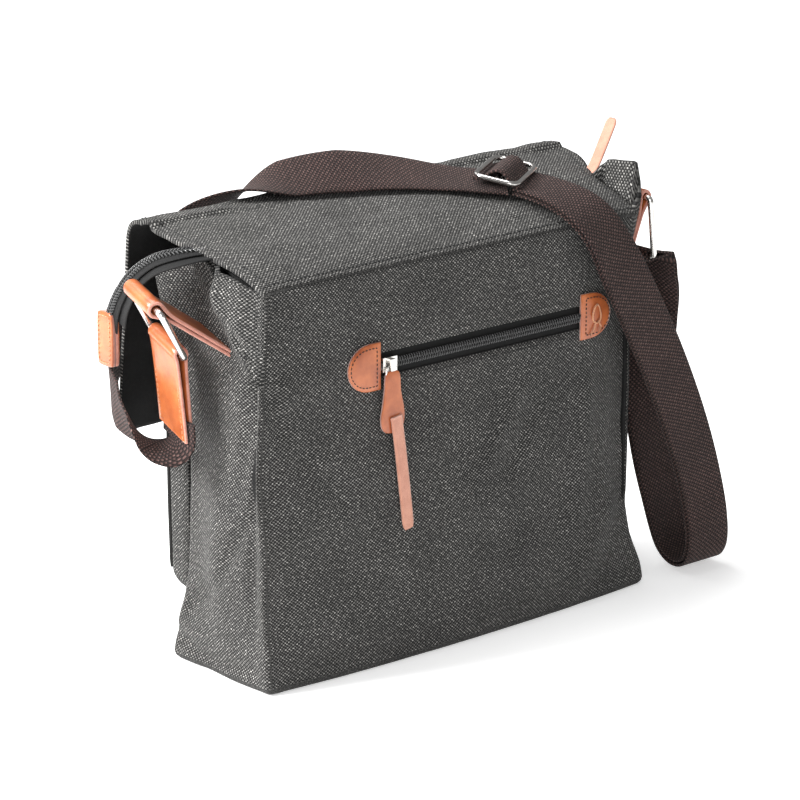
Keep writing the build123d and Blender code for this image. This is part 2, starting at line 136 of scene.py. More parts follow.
# Node helpers ---------------------------------------------------------------------------------
class Shading:
    """One material's node tree, with short ways to add to it."""

    def __init__(self, name, roughness, metallic=0.0):
        self.material = bpy.data.materials.new(name)
        self.material.use_nodes = True
        self.tree = self.material.node_tree
        self.shader = self.tree.nodes["Principled BSDF"]
        self.shader.inputs["Roughness"].default_value = roughness
        self.shader.inputs["Metallic"].default_value = metallic

    def node(self, kind, **inputs):
        made = self.tree.nodes.new(kind)
        for name, value in inputs.items():
            self.feed(made.inputs[name.replace("_", " ")], value)
        return made

    def feed(self, socket, value):
        if isinstance(value, bpy.types.NodeSocket):
            self.tree.links.new(value, socket)
        else:
            socket.default_value = value

    def math(self, operation, *values):
        made = self.tree.nodes.new("ShaderNodeMath")
        made.operation = operation
        for socket, value in zip(made.inputs, values):
            self.feed(socket, value)
        return made.outputs[0]

    def uv(self):
        parts = self.node("ShaderNodeSeparateXYZ", Vector=self.node("ShaderNodeTexCoord").outputs["UV"])
        return parts.outputs["X"], parts.outputs["Y"]

    def vector(self, x, y, z=0.0):
        return self.node("ShaderNodeCombineXYZ", X=x, Y=y, Z=z).outputs[0]

    def place(self):
        return self.node("ShaderNodeTexCoord").outputs["Object"]

    def noise(self, vector, scale, detail=2.0, roughness=0.5):
        made = self.node("ShaderNodeTexNoise", Vector=vector, Scale=scale, Detail=detail, Roughness=roughness)
        return made.outputs["Fac"]

    def ramp(self, value, *stops):
        made = self.node("ShaderNodeValToRGB", Fac=value)
        band = made.color_ramp
        while len(band.elements) < len(stops):
            band.elements.new(0.5)
        for element, (at, colour) in zip(band.elements, stops):
            element.position = at
            element.color = (*colour, 1) if len(colour) == 3 else colour
        return made.outputs["Color"]

    def mix(self, share, a, b, blend="MIX"):
        made = self.tree.nodes.new("ShaderNodeMix")
        made.data_type = "RGBA"
        made.blend_type = blend
        self.feed(made.inputs[0], share)
        for socket, value in ((made.inputs[6], a), (made.inputs[7], b)):
            if isinstance(value, tuple) and len(value) == 3:
                value = (*value, 1)
            self.feed(socket, value)
        return made.outputs[2]

    def colour(self, value):
        self.feed(self.shader.inputs["Base Color"], value)

    def bump(self, height, strength, distance):
        made = self.node("ShaderNodeBump", Height=height, Strength=strength, Distance=distance)
        self.feed(self.shader.inputs["Normal"], made.outputs[0])


def grey(value):
    return (value, value, value)


# Materials ------------------------------------------------------------------------------------
def woven(name, pitch_u, pitch_v, warp, weft, fleck, roughness, sheen, relief):
    """Plain-woven cloth: warp and weft threads over and under, with lighter flecks in the weft, and painted
    shade that darkens the low places between the threads.
    """
    s = Shading(name, roughness)
    u, v = s.uv()
    around, along = s.math("MULTIPLY", u, math.pi / pitch_u), s.math("MULTIPLY", v, math.pi / pitch_v)
    wave_u, wave_v = s.math("SINE", around), s.math("SINE", along)
    both = s.math("MULTIPLY", wave_u, wave_v)
    over = s.math("ADD", s.math("MULTIPLY", both, 3.0), 0.5)
    over = s.math("MINIMUM", s.math("MAXIMUM", over, 0.0), 1.0)
    warp_height = s.math("ABSOLUTE", wave_u)
    weft_height = s.math("ABSOLUTE", wave_v)
    rise = s.math("SUBTRACT", weft_height, warp_height)
    height = s.math("ADD", warp_height, s.math("MULTIPLY", rise, over))
    cloth = s.vector(u, v)
    heather = s.noise(cloth, 430.0, 3.0, 0.75)
    blotch = s.noise(cloth, 22.0, 3.0, 0.6)
    light = s.ramp(heather, (0.34, tuple(c * 0.5 for c in weft)), (0.50, weft), (0.72, fleck))
    dark = s.ramp(heather, (0.35, tuple(c * 0.6 for c in warp)), (0.65, warp))
    threads = s.mix(over, dark, light)
    # Painted shade: the colour is darkened by thread height, down to 0.15 in the low places between threads.
    painted_gap_shade = s.ramp(height, (0.25, grey(0.15)), (0.80, grey(1.0)))
    threads = s.mix(1.0, threads, painted_gap_shade, "MULTIPLY")
    worn = s.ramp(blotch, (0.32, grey(0.82)), (0.70, grey(1.18)))
    s.colour(s.mix(1.0, threads, worn, "MULTIPLY"))
    s.shader.inputs["Sheen Weight"].default_value = sheen
    s.shader.inputs["Sheen Roughness"].default_value = 0.6
    s.shader.inputs["Specular IOR Level"].default_value = 0.25
    s.bump(height, relief, 0.0005)
    return s.material


def make_leather(name, dark, light, roughness):
    """Smooth finished leather: fine grain, pores and uneven dye."""
    s = Shading(name, roughness)
    place = s.place()
    dye = s.noise(place, 60.0, 4.0, 0.6)
    grain = s.noise(place, 2600.0, 3.0, 0.6)
    creases = s.noise(place, 420.0, 5.0, 0.65)
    s.colour(s.ramp(dye, (0.30, dark), (0.72, light)))
    s.bump(s.math("ADD", s.math("MULTIPLY", grain, 0.35), creases), 0.22, 0.0005)
    s.shader.inputs["Coat Weight"].default_value = 0.25
    s.shader.inputs["Coat Roughness"].default_value = 0.25
    return s.material


def make_suede(name, dark, light):
    """Raw split leather: short matted fibres."""
    s = Shading(name, 0.92)
    place = s.place()
    fibres = s.noise(place, 1500.0, 4.0, 0.75)
    blotch = s.noise(place, 120.0, 3.0, 0.6)
    mixed = s.math("ADD", s.math("MULTIPLY", fibres, 0.6), s.math("MULTIPLY", blotch, 0.4))
    s.colour(s.ramp(mixed, (0.33, dark), (0.66, light)))
    s.bump(fibres, 0.6, 0.0004)
    s.shader.inputs["Sheen Weight"].default_value = 0.4
    return s.material


def make_metal(name, tint, roughness):
    """Plated metal with faint handling marks."""
    s = Shading(name, roughness, 1.0)
    place = s.place()
    cloud = s.noise(place, 160.0, 3.0, 0.6)
    s.colour(s.ramp(cloud, (0.25, tuple(c * 0.82 for c in tint)), (0.75, tint)))
    s.feed(s.shader.inputs["Roughness"], s.math("ADD", s.math("MULTIPLY", cloud, 0.14), roughness - 0.05))
    s.bump(s.noise(place, 900.0, 2.0, 0.5), 0.05, 0.0002)
    return s.material


def make_moulded(name, tone, roughness):
    """Smooth nylon, for zipper teeth, dark thread and the base board."""
    s = Shading(name, roughness)
    speck = s.noise(s.place(), 700.0, 3.0, 0.6)
    s.colour(s.ramp(speck, (0.3, grey(tone * 0.7)), (0.7, grey(tone * 1.5))))
    s.bump(speck, 0.15, 0.0002)
    return s.material


def make_brushed_loop(name, tone):
    """The insert's brushed loop cloth."""
    s = Shading(name, 0.95)
    place = s.place()
    fuzz = s.noise(place, 1300.0, 4.0, 0.8)
    cloud = s.noise(place, 45.0, 3.0, 0.6)
    mixed = s.math("ADD", s.math("MULTIPLY", fuzz, 0.7), s.math("MULTIPLY", cloud, 0.3))
    s.colour(s.ramp(mixed, (0.34, grey(tone * 0.5)), (0.66, grey(tone * 1.7))))
    s.shader.inputs["Sheen Weight"].default_value = 0.6
    s.bump(fuzz, 0.7, 0.0006)
    return s.material


def make_materials():
    """Every finish, by its short name."""
    return {
        "canvas": woven(
            "canvas", 0.0014, 0.0012, grey(0.012), (0.135, 0.131, 0.124), (0.60, 0.58, 0.545), 0.9, 0.04, 1.0
        ),
        "lining": woven("lining", 0.0007, 0.0007, grey(0.003), grey(0.006), grey(0.015), 0.75, 0.02, 0.3),
        "webbing": woven(
            "webbing", 0.0017, 0.0016, (0.017, 0.0085, 0.0075), (0.085, 0.046, 0.040), (0.20, 0.125, 0.11),
            0.9, 0.04, 1.0
        ),
        "tape": woven("tape", 0.0006, 0.0009, grey(0.003), grey(0.008), grey(0.02), 0.8, 0.02, 0.4),
        "leather": make_leather("leather", (0.27, 0.060, 0.018), (0.52, 0.150, 0.045), 0.30),
        "raw_edge": make_suede("raw_edge", (0.34, 0.12, 0.085), (0.62, 0.29, 0.22)),
        "suede": make_suede("suede", (0.40, 0.165, 0.110), (0.60, 0.300, 0.210)),
        "nickel": make_metal("nickel", (0.78, 0.76, 0.73), 0.20),
        "gunmetal": make_metal("gunmetal", (0.56, 0.54, 0.52), 0.18),
        "coil": make_moulded("coil", 0.030, 0.20),
        "thread": make_moulded("thread", 0.012, 0.7),
        "tan_thread": make_suede("tan_thread", (0.40, 0.16, 0.07), (0.66, 0.34, 0.18)),
        "board": make_moulded("board", 0.05, 0.6),
        "padding": make_brushed_loop("padding", 0.030),
    }


# Mesh helpers ---------------------------------------------------------------------------------
def new_piece(name, points, faces, materials, face_material=None, uv=None):
    """A smooth-shaded mesh piece; uv gives one place per point, in metres of cloth."""
    mesh = bpy.data.meshes.new(name)
    mesh.from_pydata([tuple(p) for p in points], [], faces)
    for material in materials:
        mesh.materials.append(material)
    mesh.polygons.foreach_set("use_smooth", [True] * len(mesh.polygons))
    if face_material is not None:
        mesh.polygons.foreach_set("material_index", face_material)
    if uv is not None:
        layer = mesh.uv_layers.new(name="cloth")
        corners = np.zeros(len(mesh.loops), int)
        mesh.loops.foreach_get("vertex_index", corners)
        layer.data.foreach_set("uv", np.asarray(uv, float)[corners].ravel())
    mesh.validate()
    mesh.update()
    piece = bpy.data.objects.new(name, mesh)
    bpy.context.scene.collection.objects.link(piece)
    return piece


def row_numbers(row, count, start=0):
    """The point numbers of one row of a mesh that is built row by row."""
    return [start + row * count + k for k in range(count)]


def band(row, count, start=0):
    """Quads between a closed row of points and the next row."""
    low, high = row_numbers(row, count, start), row_numbers(row + 1, count, start)
    return [(low[k], low[(k + 1) % count], high[(k + 1) % count], high[k]) for k in range(count)]


def grid_normals(grid, wrap):
    """A unit normal at each point of a grid of points."""
    if wrap:
        padded = np.concatenate([grid[:, -1:], grid, grid[:, :1]], axis=1)
        across = (padded[:, 2:] - padded[:, :-2])
    else:
        across = np.gradient(grid, axis=1)
    down = np.gradient(grid, axis=0)
    normals = np.cross(across, down)
    return normals / np.maximum(np.linalg.norm(normals, axis=2, keepdims=True), 1e-12)


def cloth_piece(name, grid, thickness, uv, materials, wrap=False, cap=False, skip=None):
    """A closed sheet: a grid of outer points, the same set in by the thickness, and its edges.
    materials are outside, inside and edge.  skip(row, column) leaves a window open."""
    rows, columns = grid.shape[:2]
    inner = grid - grid_normals(grid, wrap) * thickness
    points = np.concatenate([grid.reshape(-1, 3), inner.reshape(-1, 3)])
    place = np.concatenate([uv.reshape(-1, 2), uv.reshape(-1, 2)])
    offset = rows * columns
    span = columns if wrap else columns - 1
    faces, kinds, edge_use = [], [], {}
    for r in range(rows - 1):
        for c in range(span):
            if skip is not None and skip(r, c):
                continue
            n = (c + 1) % columns
            quad = (r * columns + c, r * columns + n, (r + 1) * columns + n, (r + 1) * columns + c)
            faces.append(quad)
            kinds.append(0)
            faces.append(tuple(offset + i for i in quad[::-1]))
            kinds.append(1)
            for a, b in zip(quad, quad[1:] + quad[:1]):
                edge_use[(a, b)] = edge_use.get((a, b), 0) + 1
    if cap:
        for shift, kind in ((0, 0), (offset, 1)):
            loop = [shift + c for c in range(columns)]
            faces.append(tuple(loop if kind else loop[::-1]))
            kinds.append(kind)
        for c in range(columns):
            edge_use[((c + 1) % columns, c)] = 1
    for a, b in edge_use:
        if (b, a) not in edge_use:
            faces.append((b, a, offset + a, offset + b))
            kinds.append(2)
    return new_piece(name, points, faces, materials, kinds, place)


def section_ring(width, thickness, across=8, bend=3):
    """A flat strip's rounded section: (across, out) points, and for each side 0 face or 1 edge."""
    radius = thickness / 2
    half = width / 2 - radius
    ring, sides = [], []
    for sign in (1, -1):
        for i in range(across + 1):
            ring.append((sign * (-half + 2 * half * i / across), sign * radius))
            sides.append(0 if i < across else 1)
        for i in range(1, bend):
            angle = math.pi / 2 - math.pi * i / bend
            ring.append((sign * (half + radius * math.cos(angle)), sign * radius * math.sin(angle)))
            sides.append(1)
    return ring, sides


def directions(path, faces):
    """Tangent, face normal and side at each point of a path."""
    path, faces = np.asarray(path, float), np.asarray(faces, float)
    tangent = np.gradient(path, axis=0)
    tangent /= np.linalg.norm(tangent, axis=1, keepdims=True)
    normal = faces - tangent * np.sum(faces * tangent, axis=1, keepdims=True)
    normal /= np.linalg.norm(normal, axis=1, keepdims=True)
    return tangent, normal, np.cross(normal, tangent)


def lengths_along(path):
    steps = np.linalg.norm(np.diff(np.asarray(path, float), axis=0), axis=1)
    return np.concatenate([[0.0], np.cumsum(steps)])


def swept(line, normal, side, ring, widths, along):
    """A section swept along a line: its points, their places on the cloth, and quads between rows."""
    count = len(ring)
    points, place, faces = [], [], []
    for i in range(len(line)):
        for a, b in ring:
            points.append(line[i] + side[i] * (a * widths[i]) + normal[i] * b)
            place.append((a * widths[i], along[i]))
    for i in range(len(line) - 1):
        faces += band(i, count)
    return points, place, faces


def ribbon(name, path, faces, width, thickness, materials, offset=0.0, widths=None):
    """A flat strip along a path, closed at both ends."""
    _, normal, side = directions(path, faces)
    ring, sides = section_ring(width, thickness)
    centre = np.asarray(path, float) + normal * offset
    widths = [1.0] * len(path) if widths is None else widths
    points, place, quads = swept(centre, normal, side, ring, widths, lengths_along(path))
    last = len(materials) - 1
    kinds = [min(k, last) for k in sides] * (len(path) - 1) + [last, last]
    quads.append(tuple(row_numbers(0, len(ring))))
    quads.append(tuple(row_numbers(len(path) - 1, len(ring))[::-1]))
    return new_piece(name, points, quads, materials, kinds, place)


def tubes(name, runs, radius, material, sides=6):
    """Round rods in one piece, each along its own list of points, with rounded ends."""
    points, faces = [], []
    for run in runs:
        run = np.asarray(run, float)
        tangent = np.gradient(run, axis=0)
        tangent /= np.linalg.norm(tangent, axis=1, keepdims=True)
        up = np.array([0.31, 0.22, 0.93])
        start = len(points)
        for i, (p, t) in enumerate(zip(run, tangent)):
            a = np.cross(t, up)
            a /= np.linalg.norm(a)
            b = np.cross(t, a)
            size = radius * (0.55 if i in (0, len(run) - 1) else 1.0)
            for k in range(sides):
                angle = 2 * math.pi * k / sides
                points.append(p + a * (size * math.cos(angle)) + b * (size * math.sin(angle)))
        for i in range(len(run) - 1):
            faces += band(i, sides, start)
        faces.append(tuple(row_numbers(0, sides, start)))
        faces.append(tuple(row_numbers(len(run) - 1, sides, start)[::-1]))
    return new_piece(name, points, faces, [material])


def along_path(path, values, distance):
    """A path's point, and other values at it, a distance along."""
    reach = lengths_along(path)
    both = np.concatenate([np.asarray(path, float), np.asarray(values, float)], axis=1)
    return np.array([np.interp(distance, reach, both[:, k]) for k in range(both.shape[1])])


# Along one stitch: the share of its length from the middle, and the height over the cloth in metres.
STITCH_ARCH = ((-0.5, -0.0004), (-0.32, 0.0001), (0.0, 0.00022), (0.32, 0.0001), (0.5, -0.0004))


def stitches(name, lines, material, pitch=0.0036, length=0.0026, radius=0.00048):
    """Rows of thread: short rods that dip into the cloth at their ends.  lines are (path, normals)."""
    runs = []
    for path, normals in lines:
        total = lengths_along(path)[-1]
        count = max(int(total / pitch), 1)
        for i in range(count):
            middle = total * (i + 0.5) / count
            run = []
            for share, lift in STITCH_ARCH:
                at = along_path(path, normals, middle + share * length)
                run.append(at[:3] + at[3:] * lift)
            runs.append(run)
    return tubes(name, runs, radius, material, sides=5)


def plate(name, origin, x_axis, y_axis, outline, thickness, crown, materials):
    """A cut leather plate: raw edge, rounded rim and a slightly crowned face.  outline is in its plane."""
    x_axis, y_axis = Vector(x_axis).normalized(), Vector(y_axis).normalized()
    out = x_axis.cross(y_axis)
    rim = 0.35 * thickness
    centre = np.mean(outline, axis=0)
    rings = [(0.0, 0.0), (0.0, thickness - rim), (0.25 * rim, thickness - 0.35 * rim), (rim, thickness)]
    reach = np.mean(np.linalg.norm(np.asarray(outline) - centre, axis=1))
    shares = [1 - inset / reach for inset, _ in rings] + [0.75, 0.5, 0.25]
    heights = [h for _, h in rings] + [thickness + crown * k for k in (0.5, 0.8, 0.95)]
    points, faces, kinds, place = [], [], [], []
    count = len(outline)
    for share, height in zip(shares, heights):
        for p in outline:
            flat = centre + (np.asarray(p) - centre) * share
            points.append(Vector(origin) + x_axis * flat[0] + y_axis * flat[1] + out * height)
            place.append(tuple(flat))
    for r in range(len(shares) - 1):
        faces += band(r, count)
        kinds += [1 if r < 1 else 0] * count
    last = (len(shares) - 1) * count
    points.append(Vector(origin) + x_axis * centre[0] + y_axis * centre[1] + out * (thickness + crown))
    place.append(tuple(centre))
    middle = len(points) - 1
    faces += [(last + i, last + (i + 1) % count, middle) for i in range(count)]
    kinds += [0] * count
    faces.append(tuple(reversed(range(count))))
    kinds.append(1)
    return new_piece(name, points, faces, materials, kinds, place)


def smooth_outline(corners, rounds=4):
    """A closed outline with its corners cut round, by Chaikin's rule."""
    points = [np.asarray(p, float) for p in corners]
    for _ in range(rounds):
        cut = []
        for a, b in zip(points, points[1:] + points[:1]):
            cut += [a * 0.75 + b * 0.25, a * 0.25 + b * 0.75]
        points = cut
    return points


def smooth_line(corners, count, columns=3):
    """A smooth open line through given points: a Catmull-Rom curve, resampled evenly."""
    p = np.asarray(corners, float)
    p = np.concatenate([[2 * p[0] - p[1]], p, [2 * p[-1] - p[-2]]])
    found = []
    for i in range(1, len(p) - 2):
        for t in np.linspace(0, 1, 16, endpoint=i == len(p) - 3):
            a, b, c, d = p[i - 1], p[i], p[i + 1], p[i + 2]
            square = (2 * a - 5 * b + 4 * c - d) * t**2
            cube = (3 * b - a - 3 * c + d) * t**3
            found.append(0.5 * (2 * b + (c - a) * t + square + cube))
    found = np.array(found)
    reach = lengths_along(found[:, :columns])
    even = np.linspace(0, reach[-1], count)
    return np.array([[np.interp(e, reach, found[:, k]) for k in range(found.shape[1])] for e in even])


def ease(x, low, high):
    """0 below low, 1 above high and smooth between."""
    t = np.clip((x - low) / (high - low), 0, 1)
    return t * t * (3 - 2 * t)


def bell(distance, spread):
    """1 at distance 0, falling smoothly to 0 a few spreads away."""
    return math.exp(-((distance / spread) ** 2))


def ripple(x, y, z, scale, seed):
    """Smooth noise from -1 to 1 at a place, at a scale in 1/m."""
    return noise.noise(Vector((x * scale + seed, y * scale - seed, z * scale + 2 * seed)))


# Cords ----------------------------------------------------------------------------------------
SPLINE_STEPS = 14


def spline_points(name, route):
    """The route's smooth line, and the face direction at each of its points."""
    curve = bpy.data.curves.new(name, "CURVE")
    curve.dimensions = "3D"
    curve.resolution_u = SPLINE_STEPS
    spline = curve.splines.new("NURBS")
    spline.points.add(len(route) - 1)
    for point, (place, _) in zip(spline.points, route):
        point.co = (*place, 1)
    spline.order_u = 3
    spline.use_endpoint_u = True
    guide = bpy.data.objects.new(name, curve)
    bpy.context.scene.collection.objects.link(guide)
    bpy.context.view_layer.update()
    line = bpy.data.meshes.new_from_object(guide)
    points = np.array([v.co for v in line.vertices])
    bpy.data.meshes.remove(line)
    bpy.data.objects.remove(guide)
    bpy.data.curves.remove(curve)
    faces = np.array([f for _, f in route], float)
    faces /= np.linalg.norm(faces, axis=1, keepdims=True)
    last = len(route) - 2
    knots = [0.0] + [k + 0.5 for k in range(last)] + [float(last)]
    at = np.linspace(0, last, len(points))
    facing = np.array([[np.interp(t, knots, faces[:, k]) for k in range(3)] for t in at])
    return points, facing


def nearest(points, target):
    return int(np.argmin(np.linalg.norm(points - np.asarray(target), axis=1)))


def strap_piece(name, points, facing, materials, offset=0.0):
    return ribbon(name, points, facing, WEBBING_WIDTH, WEBBING_THICKNESS, materials, offset)


def make_strap(m):
    """The shoulder strap: single webbing over the flap, doubled behind, each cut where it changes body."""
    webbing = [m["webbing"]]
    front, front_facing = spline_points("strap_front_route", STRAP_FRONT)
    cut = nearest(front, (0.195, -0.030, 0.155))
    end = strap_piece("strap_end", front[: cut + 1], front_facing[: cut + 1], webbing)
    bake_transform(end)
    single = strap_piece("strap_single", front[cut:], front_facing[cut:], webbing)
    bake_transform(single)
    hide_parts("strap_front")
    double, double_facing = spline_points("strap_double_route", STRAP_DOUBLE)
    cut_ring = nearest(double, (-0.2145, 0.0155, 0.185))
    run = double[: cut_ring + 1]
    for name, node, side in (("strap_over", "strap_outer", 1), ("strap_under", "strap_inner", -1)):
        layer = strap_piece(name, run, double_facing[: cut_ring + 1], webbing, side * LAYER_OFFSET)
        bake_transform(layer)
        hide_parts(node)
    turn = make_strap_turn(m, double[cut_ring:], double_facing[cut_ring:])


def make_adjuster_wrap(m):
    """The webbing's fold over the adjuster's bar."""
    centre = np.array((-0.086, 0.002, 0.3024))
    along = np.array((-0.49, 0.86, -0.16))
    along /= np.linalg.norm(along)
    up = np.cross((-0.86, -0.5, 0.08), along)
    up /= np.sign(up[2]) * np.linalg.norm(up)
    rise = [(-17, -4.4), (-13.5, -3.9), (-10, -2.2), (-6.5, 1.6), (-3.2, 4.2)]
    outline = rise + [(0, 5.0)] + [(-a, b) for a, b in rise[::-1]]
    line = smooth_line(outline, 44, 2) * MM
    path = np.array([centre + along * a + up * b for a, b in line])
    lean = np.gradient(line, axis=0)
    facing = np.array([up * a - along * b for a, b in lean])
    wrap = ribbon("strap_wrap", path, facing, 0.0365, WEBBING_THICKNESS, [m["webbing"]])
    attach(wrap, "adjuster")


def make_strap_turn(m, run, facing):
    """The last stretch of both layers, and the fold round the ring's lower bar."""
    _, normal, _ = directions(run, facing)
    bar = np.array([-0.1861, 0.023, 0.2343])
    radius = RING_WIRE + RING_SLACK + WEBBING_THICKNESS / 2
    away = run[-1] - bar
    away[1] = 0.0
    away /= np.linalg.norm(away)
    lift = np.array([-away[2], 0.0, away[0]])
    if lift @ normal[-1] < 0:
        lift = -lift
    arc = []
    for angle in np.linspace(math.radians(60), math.radians(300), 14):
        arc.append(bar + away * (radius * math.cos(angle)) + lift * (radius * math.sin(angle)))
    over = run + normal * LAYER_OFFSET
    under = run - normal * LAYER_OFFSET
    path = np.concatenate([over[:-1], np.array(arc), under[::-1][1:]])
    from_bar = [(a - bar) / np.linalg.norm(a - bar) for a in arc]
    outward = np.concatenate([normal[:-1], from_bar, -normal[::-1][1:]])
    turn = strap_piece("strap_fold", path, outward, [m["webbing"]])
    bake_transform(turn)
    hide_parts("strap_turn")
    return turn


# Bag body -------------------------------------------------------------------------------------
BACK_Y = 53.0
FRONT_Y = -50.0
SIDE_X = 167.0
CORNER_BACK, CORNER_FRONT = 4.0, 6.0
# Where each wall's flat part ends and its corner begins.
BACK_END_X, BACK_END_Y = SIDE_X - CORNER_BACK, BACK_Y - CORNER_BACK
FRONT_END_X, FRONT_END_Y = SIDE_X - CORNER_FRONT, FRONT_Y + CORNER_FRONT
FRONT_LINE = ((0, 45, 150, 240, 266), (-50, -41, -39, -56, -63.5))
LEFT_BACK_EDGE = ((0, 30, 70, 150, 215, 272), (166.5, 167, 168.5, 171, 167, 164.5))
RIGHT_BACK_EDGE = ((0, 18, 40, 62, 100, 215, 257, 272), (-176, -172, -163, -158.5, -159, -160, -159, -163))
GUSSET_TOP = ((-63.5, -40, -10, 30, 48, 53), (266, 277, 284, 275, 269, 269))
RIGHT_TOP = ((-63.5, -40, -14, 0, 5, 12, 24, 38, 44, 53), (266, 278, 284, 285, 295, 299, 300, 302, 280, 269))
WINDOW_X = (-109.0, 72.0)
WINDOW_Z = (198.0, 214.0)
ZIPPER_Z = 206.0
# Over RIM_Z the rows are stretched, so that the last one, nominally at TOP_Z, follows the top edge.
RIM_Z, TOP_Z = 220.0, 270.0
# The base's rows, from its middle out: shares of the outline's length and depth, and the height.
BASE = (
    (0.06, 0.06, 0.4), (0.3, 0.3, 0.4), (0.55, 0.55, 0.35), (0.8, 0.8, 0.3), (0.93, 0.93, 0.3),
    (0.965, 0.965, 0.4), (0.985, 0.975, 0.9), (0.995, 0.992, 2.4),
)
FACING_ROWS = 16
# Height of the stitches over and under the back zipper.
STITCH_Z = (218.4, 193.6)
SEAM_FOLD = [(-12, 290), (-7, 283), (4, 273), (12, 264), (17, 253), (30, 241), (50, 222)]
FOLD_LIP = [(13, 262), (19, 246), (28, 233), (41, 223)]


def line_distance(y, z, line):
    """Distance from a place to a line of points, and the side that it is on."""
    best, side = 1e9, 1.0
    for (ay, az), (by, bz) in zip(line, line[1:]):
        dy, dz = by - ay, bz - az
        share = max(0.0, min(1.0, ((y - ay) * dy + (z - az) * dz) / (dy * dy + dz * dz)))
        gap = math.hypot(y - ay - share * dy, z - az - share * dz)
        if gap < best:
            best = gap
            side = 1.0 if dy * (z - az) - dz * (y - ay) > 0 else -1.0
    return best, side


def creased(a, b, creases):
    """The height of a set of creases at a place: each has its two ends, its height and its spread."""
    height = 0.0
    for start, stop, rise, spread in creases:
        gap, _ = line_distance(a, b, [start, stop])
        height += rise * bell(gap, spread)
    return height


def left_relief(y, z):
    """How far the left side wall stands out, with the fold where the leather tab comes through."""
    gap, side = line_distance(y, z, SEAM_FOLD)
    high = ease(z, 214, 236)
    out = 5.5 * ease(side * gap, -1, 6) * high
    out -= 5.0 * bell(side * gap + 4, 3.2) * high
    lip, _ = line_distance(y, z, FOLD_LIP)
    out += 5.0 * bell(lip, 6.0)
    out -= 12.0 * math.exp(-(((y - 42) / 6) ** 2 + ((z - 214) / 9) ** 2))
    below = ease(238 - 0.9 * (y - 10) - z, -6, 10) * ease(z, 60, 170) * ease(y, -52, -20)
    out -= 4.0 * below
    crease = bell(y - 42, 6.5) * ease(z, 18, 80) * (1 - ease(z, 206, 226))
    out -= (5.0 + 5.0 * ease(z, 80, 190)) * crease
    out += 6.0 * bell(y - 8, 22) * bell(z - 92, 58)
    out -= 4.0 * bell(y - 30 - 0.05 * (z - 150), 7.0) * ease(z, 110, 170) * (1 - ease(z, 200, 218))
    pleat, _ = line_distance(y, z, [(-30, 40), (8, 66), (36, 118)])
    out -= 3.0 * bell(pleat, 5.5)
    foot, _ = line_distance(y, z, [(-48, 22), (-15, 9), (40, 14)])
    out -= 2.5 * bell(foot, 4.5)
    return out


def right_relief(y, z):
    """The right side wall, drawn in at mid height."""
    return -3.0 * bell(y + 2, 34) * ease(z, 25, 70) * (1 - 0.5 * ease(z, 200, 260))


def back_relief(x, z):
    """How far the back stands out: full near the base, drawn round towards the right."""
    across = max(0.0, 1 - abs((x + 5) / 160) ** 2.6)
    fullness = float(np.interp(z, (0, 12, 50, 100, 150, 185), (6.0, 8.0, 9.0, 6.5, 2.5, 0)))
    out = fullness * across
    turn = ease(-x, 126, 164)
    out -= 6.0 * turn * turn * ease(z, 25, 80) * (1 - 0.75 * ease(z, 215, 262))
    out -= 2.0 * ease(x, 140, 166) * ease(z, 20, 60)
    lean = 0.6 * x + z
    folds = 1.5 * ripple(lean * MM, (z - 0.3 * x) * 0.4 * MM, 0, 20, 3.7)
    folds += 0.8 * ripple(x * MM, z * MM, 0, 34, 8.1) + 0.35 * ripple(x * MM, z * MM, 0, 80, 1.9)
    near_x = 1 - ease(max(WINDOW_X[0] - 8 - x, x - WINDOW_X[1] - 10), 0, 25)
    near_z = 1 - ease(abs(z - 212), 22, 46)
    still = 1 - near_x * near_z
    edge = ease(z, 0, 18) * (1 - ease(z, 255, 270))
    out += 1.5 * folds * still * edge
    return out + 1.7 * still * creased(x, z, BACK_CREASES)


BACK_CREASES = (
    ((150, 205), (118, 150), 1.6, 7), ((140, 190), (105, 120), -1.3, 6), ((-20, 120), (-52, 165), 1.6, 7),
    ((-40, 112), (-66, 150), -1.2, 6), ((30, 150), (8, 112), 1.2, 8), ((-118, 150), (-100, 60), 1.4, 9),
    ((-140, 66), (-108, 30), 1.8, 10), ((158, 200), (150, 175), -1.5, 5), ((-10, 240), (-60, 246), 1.0, 6),
    ((60, 250), (20, 240), -0.9, 6),
)


def corner_arc(x, y, radius, quarter):
    """Places round a quarter of a circle, counted from the left, without the first."""
    angles = np.linspace(quarter * math.pi / 2, (quarter + 1) * math.pi / 2, 6)[1:]
    return [(x + radius * math.cos(a), y + radius * math.sin(a)) for a in angles]


def perimeter():
    """Columns round the body: nominal places on a rectangle with rounded corners, in mm."""
    places = [(x, BACK_Y) for x in np.linspace(BACK_END_X, WINDOW_X[1], 30)]
    places += [(x, BACK_Y) for x in np.linspace(WINDOW_X[1], WINDOW_X[0], 56)[1:]]
    places += [(x, BACK_Y) for x in np.linspace(WINDOW_X[0], -BACK_END_X, 19)[1:]]
    places += corner_arc(-BACK_END_X, BACK_END_Y, CORNER_BACK, 1)
    places += [(-SIDE_X, y) for y in np.linspace(BACK_END_Y, FRONT_END_Y, 32)[1:]]
    places += corner_arc(-FRONT_END_X, FRONT_END_Y, CORNER_FRONT, 2)
    places += [(x, FRONT_Y) for x in np.linspace(-FRONT_END_X, FRONT_END_X, 66)[1:]]
    places += corner_arc(FRONT_END_X, FRONT_END_Y, CORNER_FRONT, 3)
    places += [(SIDE_X, y) for y in np.linspace(FRONT_END_Y, BACK_END_Y, 62)[1:]]
    places += corner_arc(BACK_END_X, BACK_END_Y, CORNER_BACK, 0)[:-1]
    return places


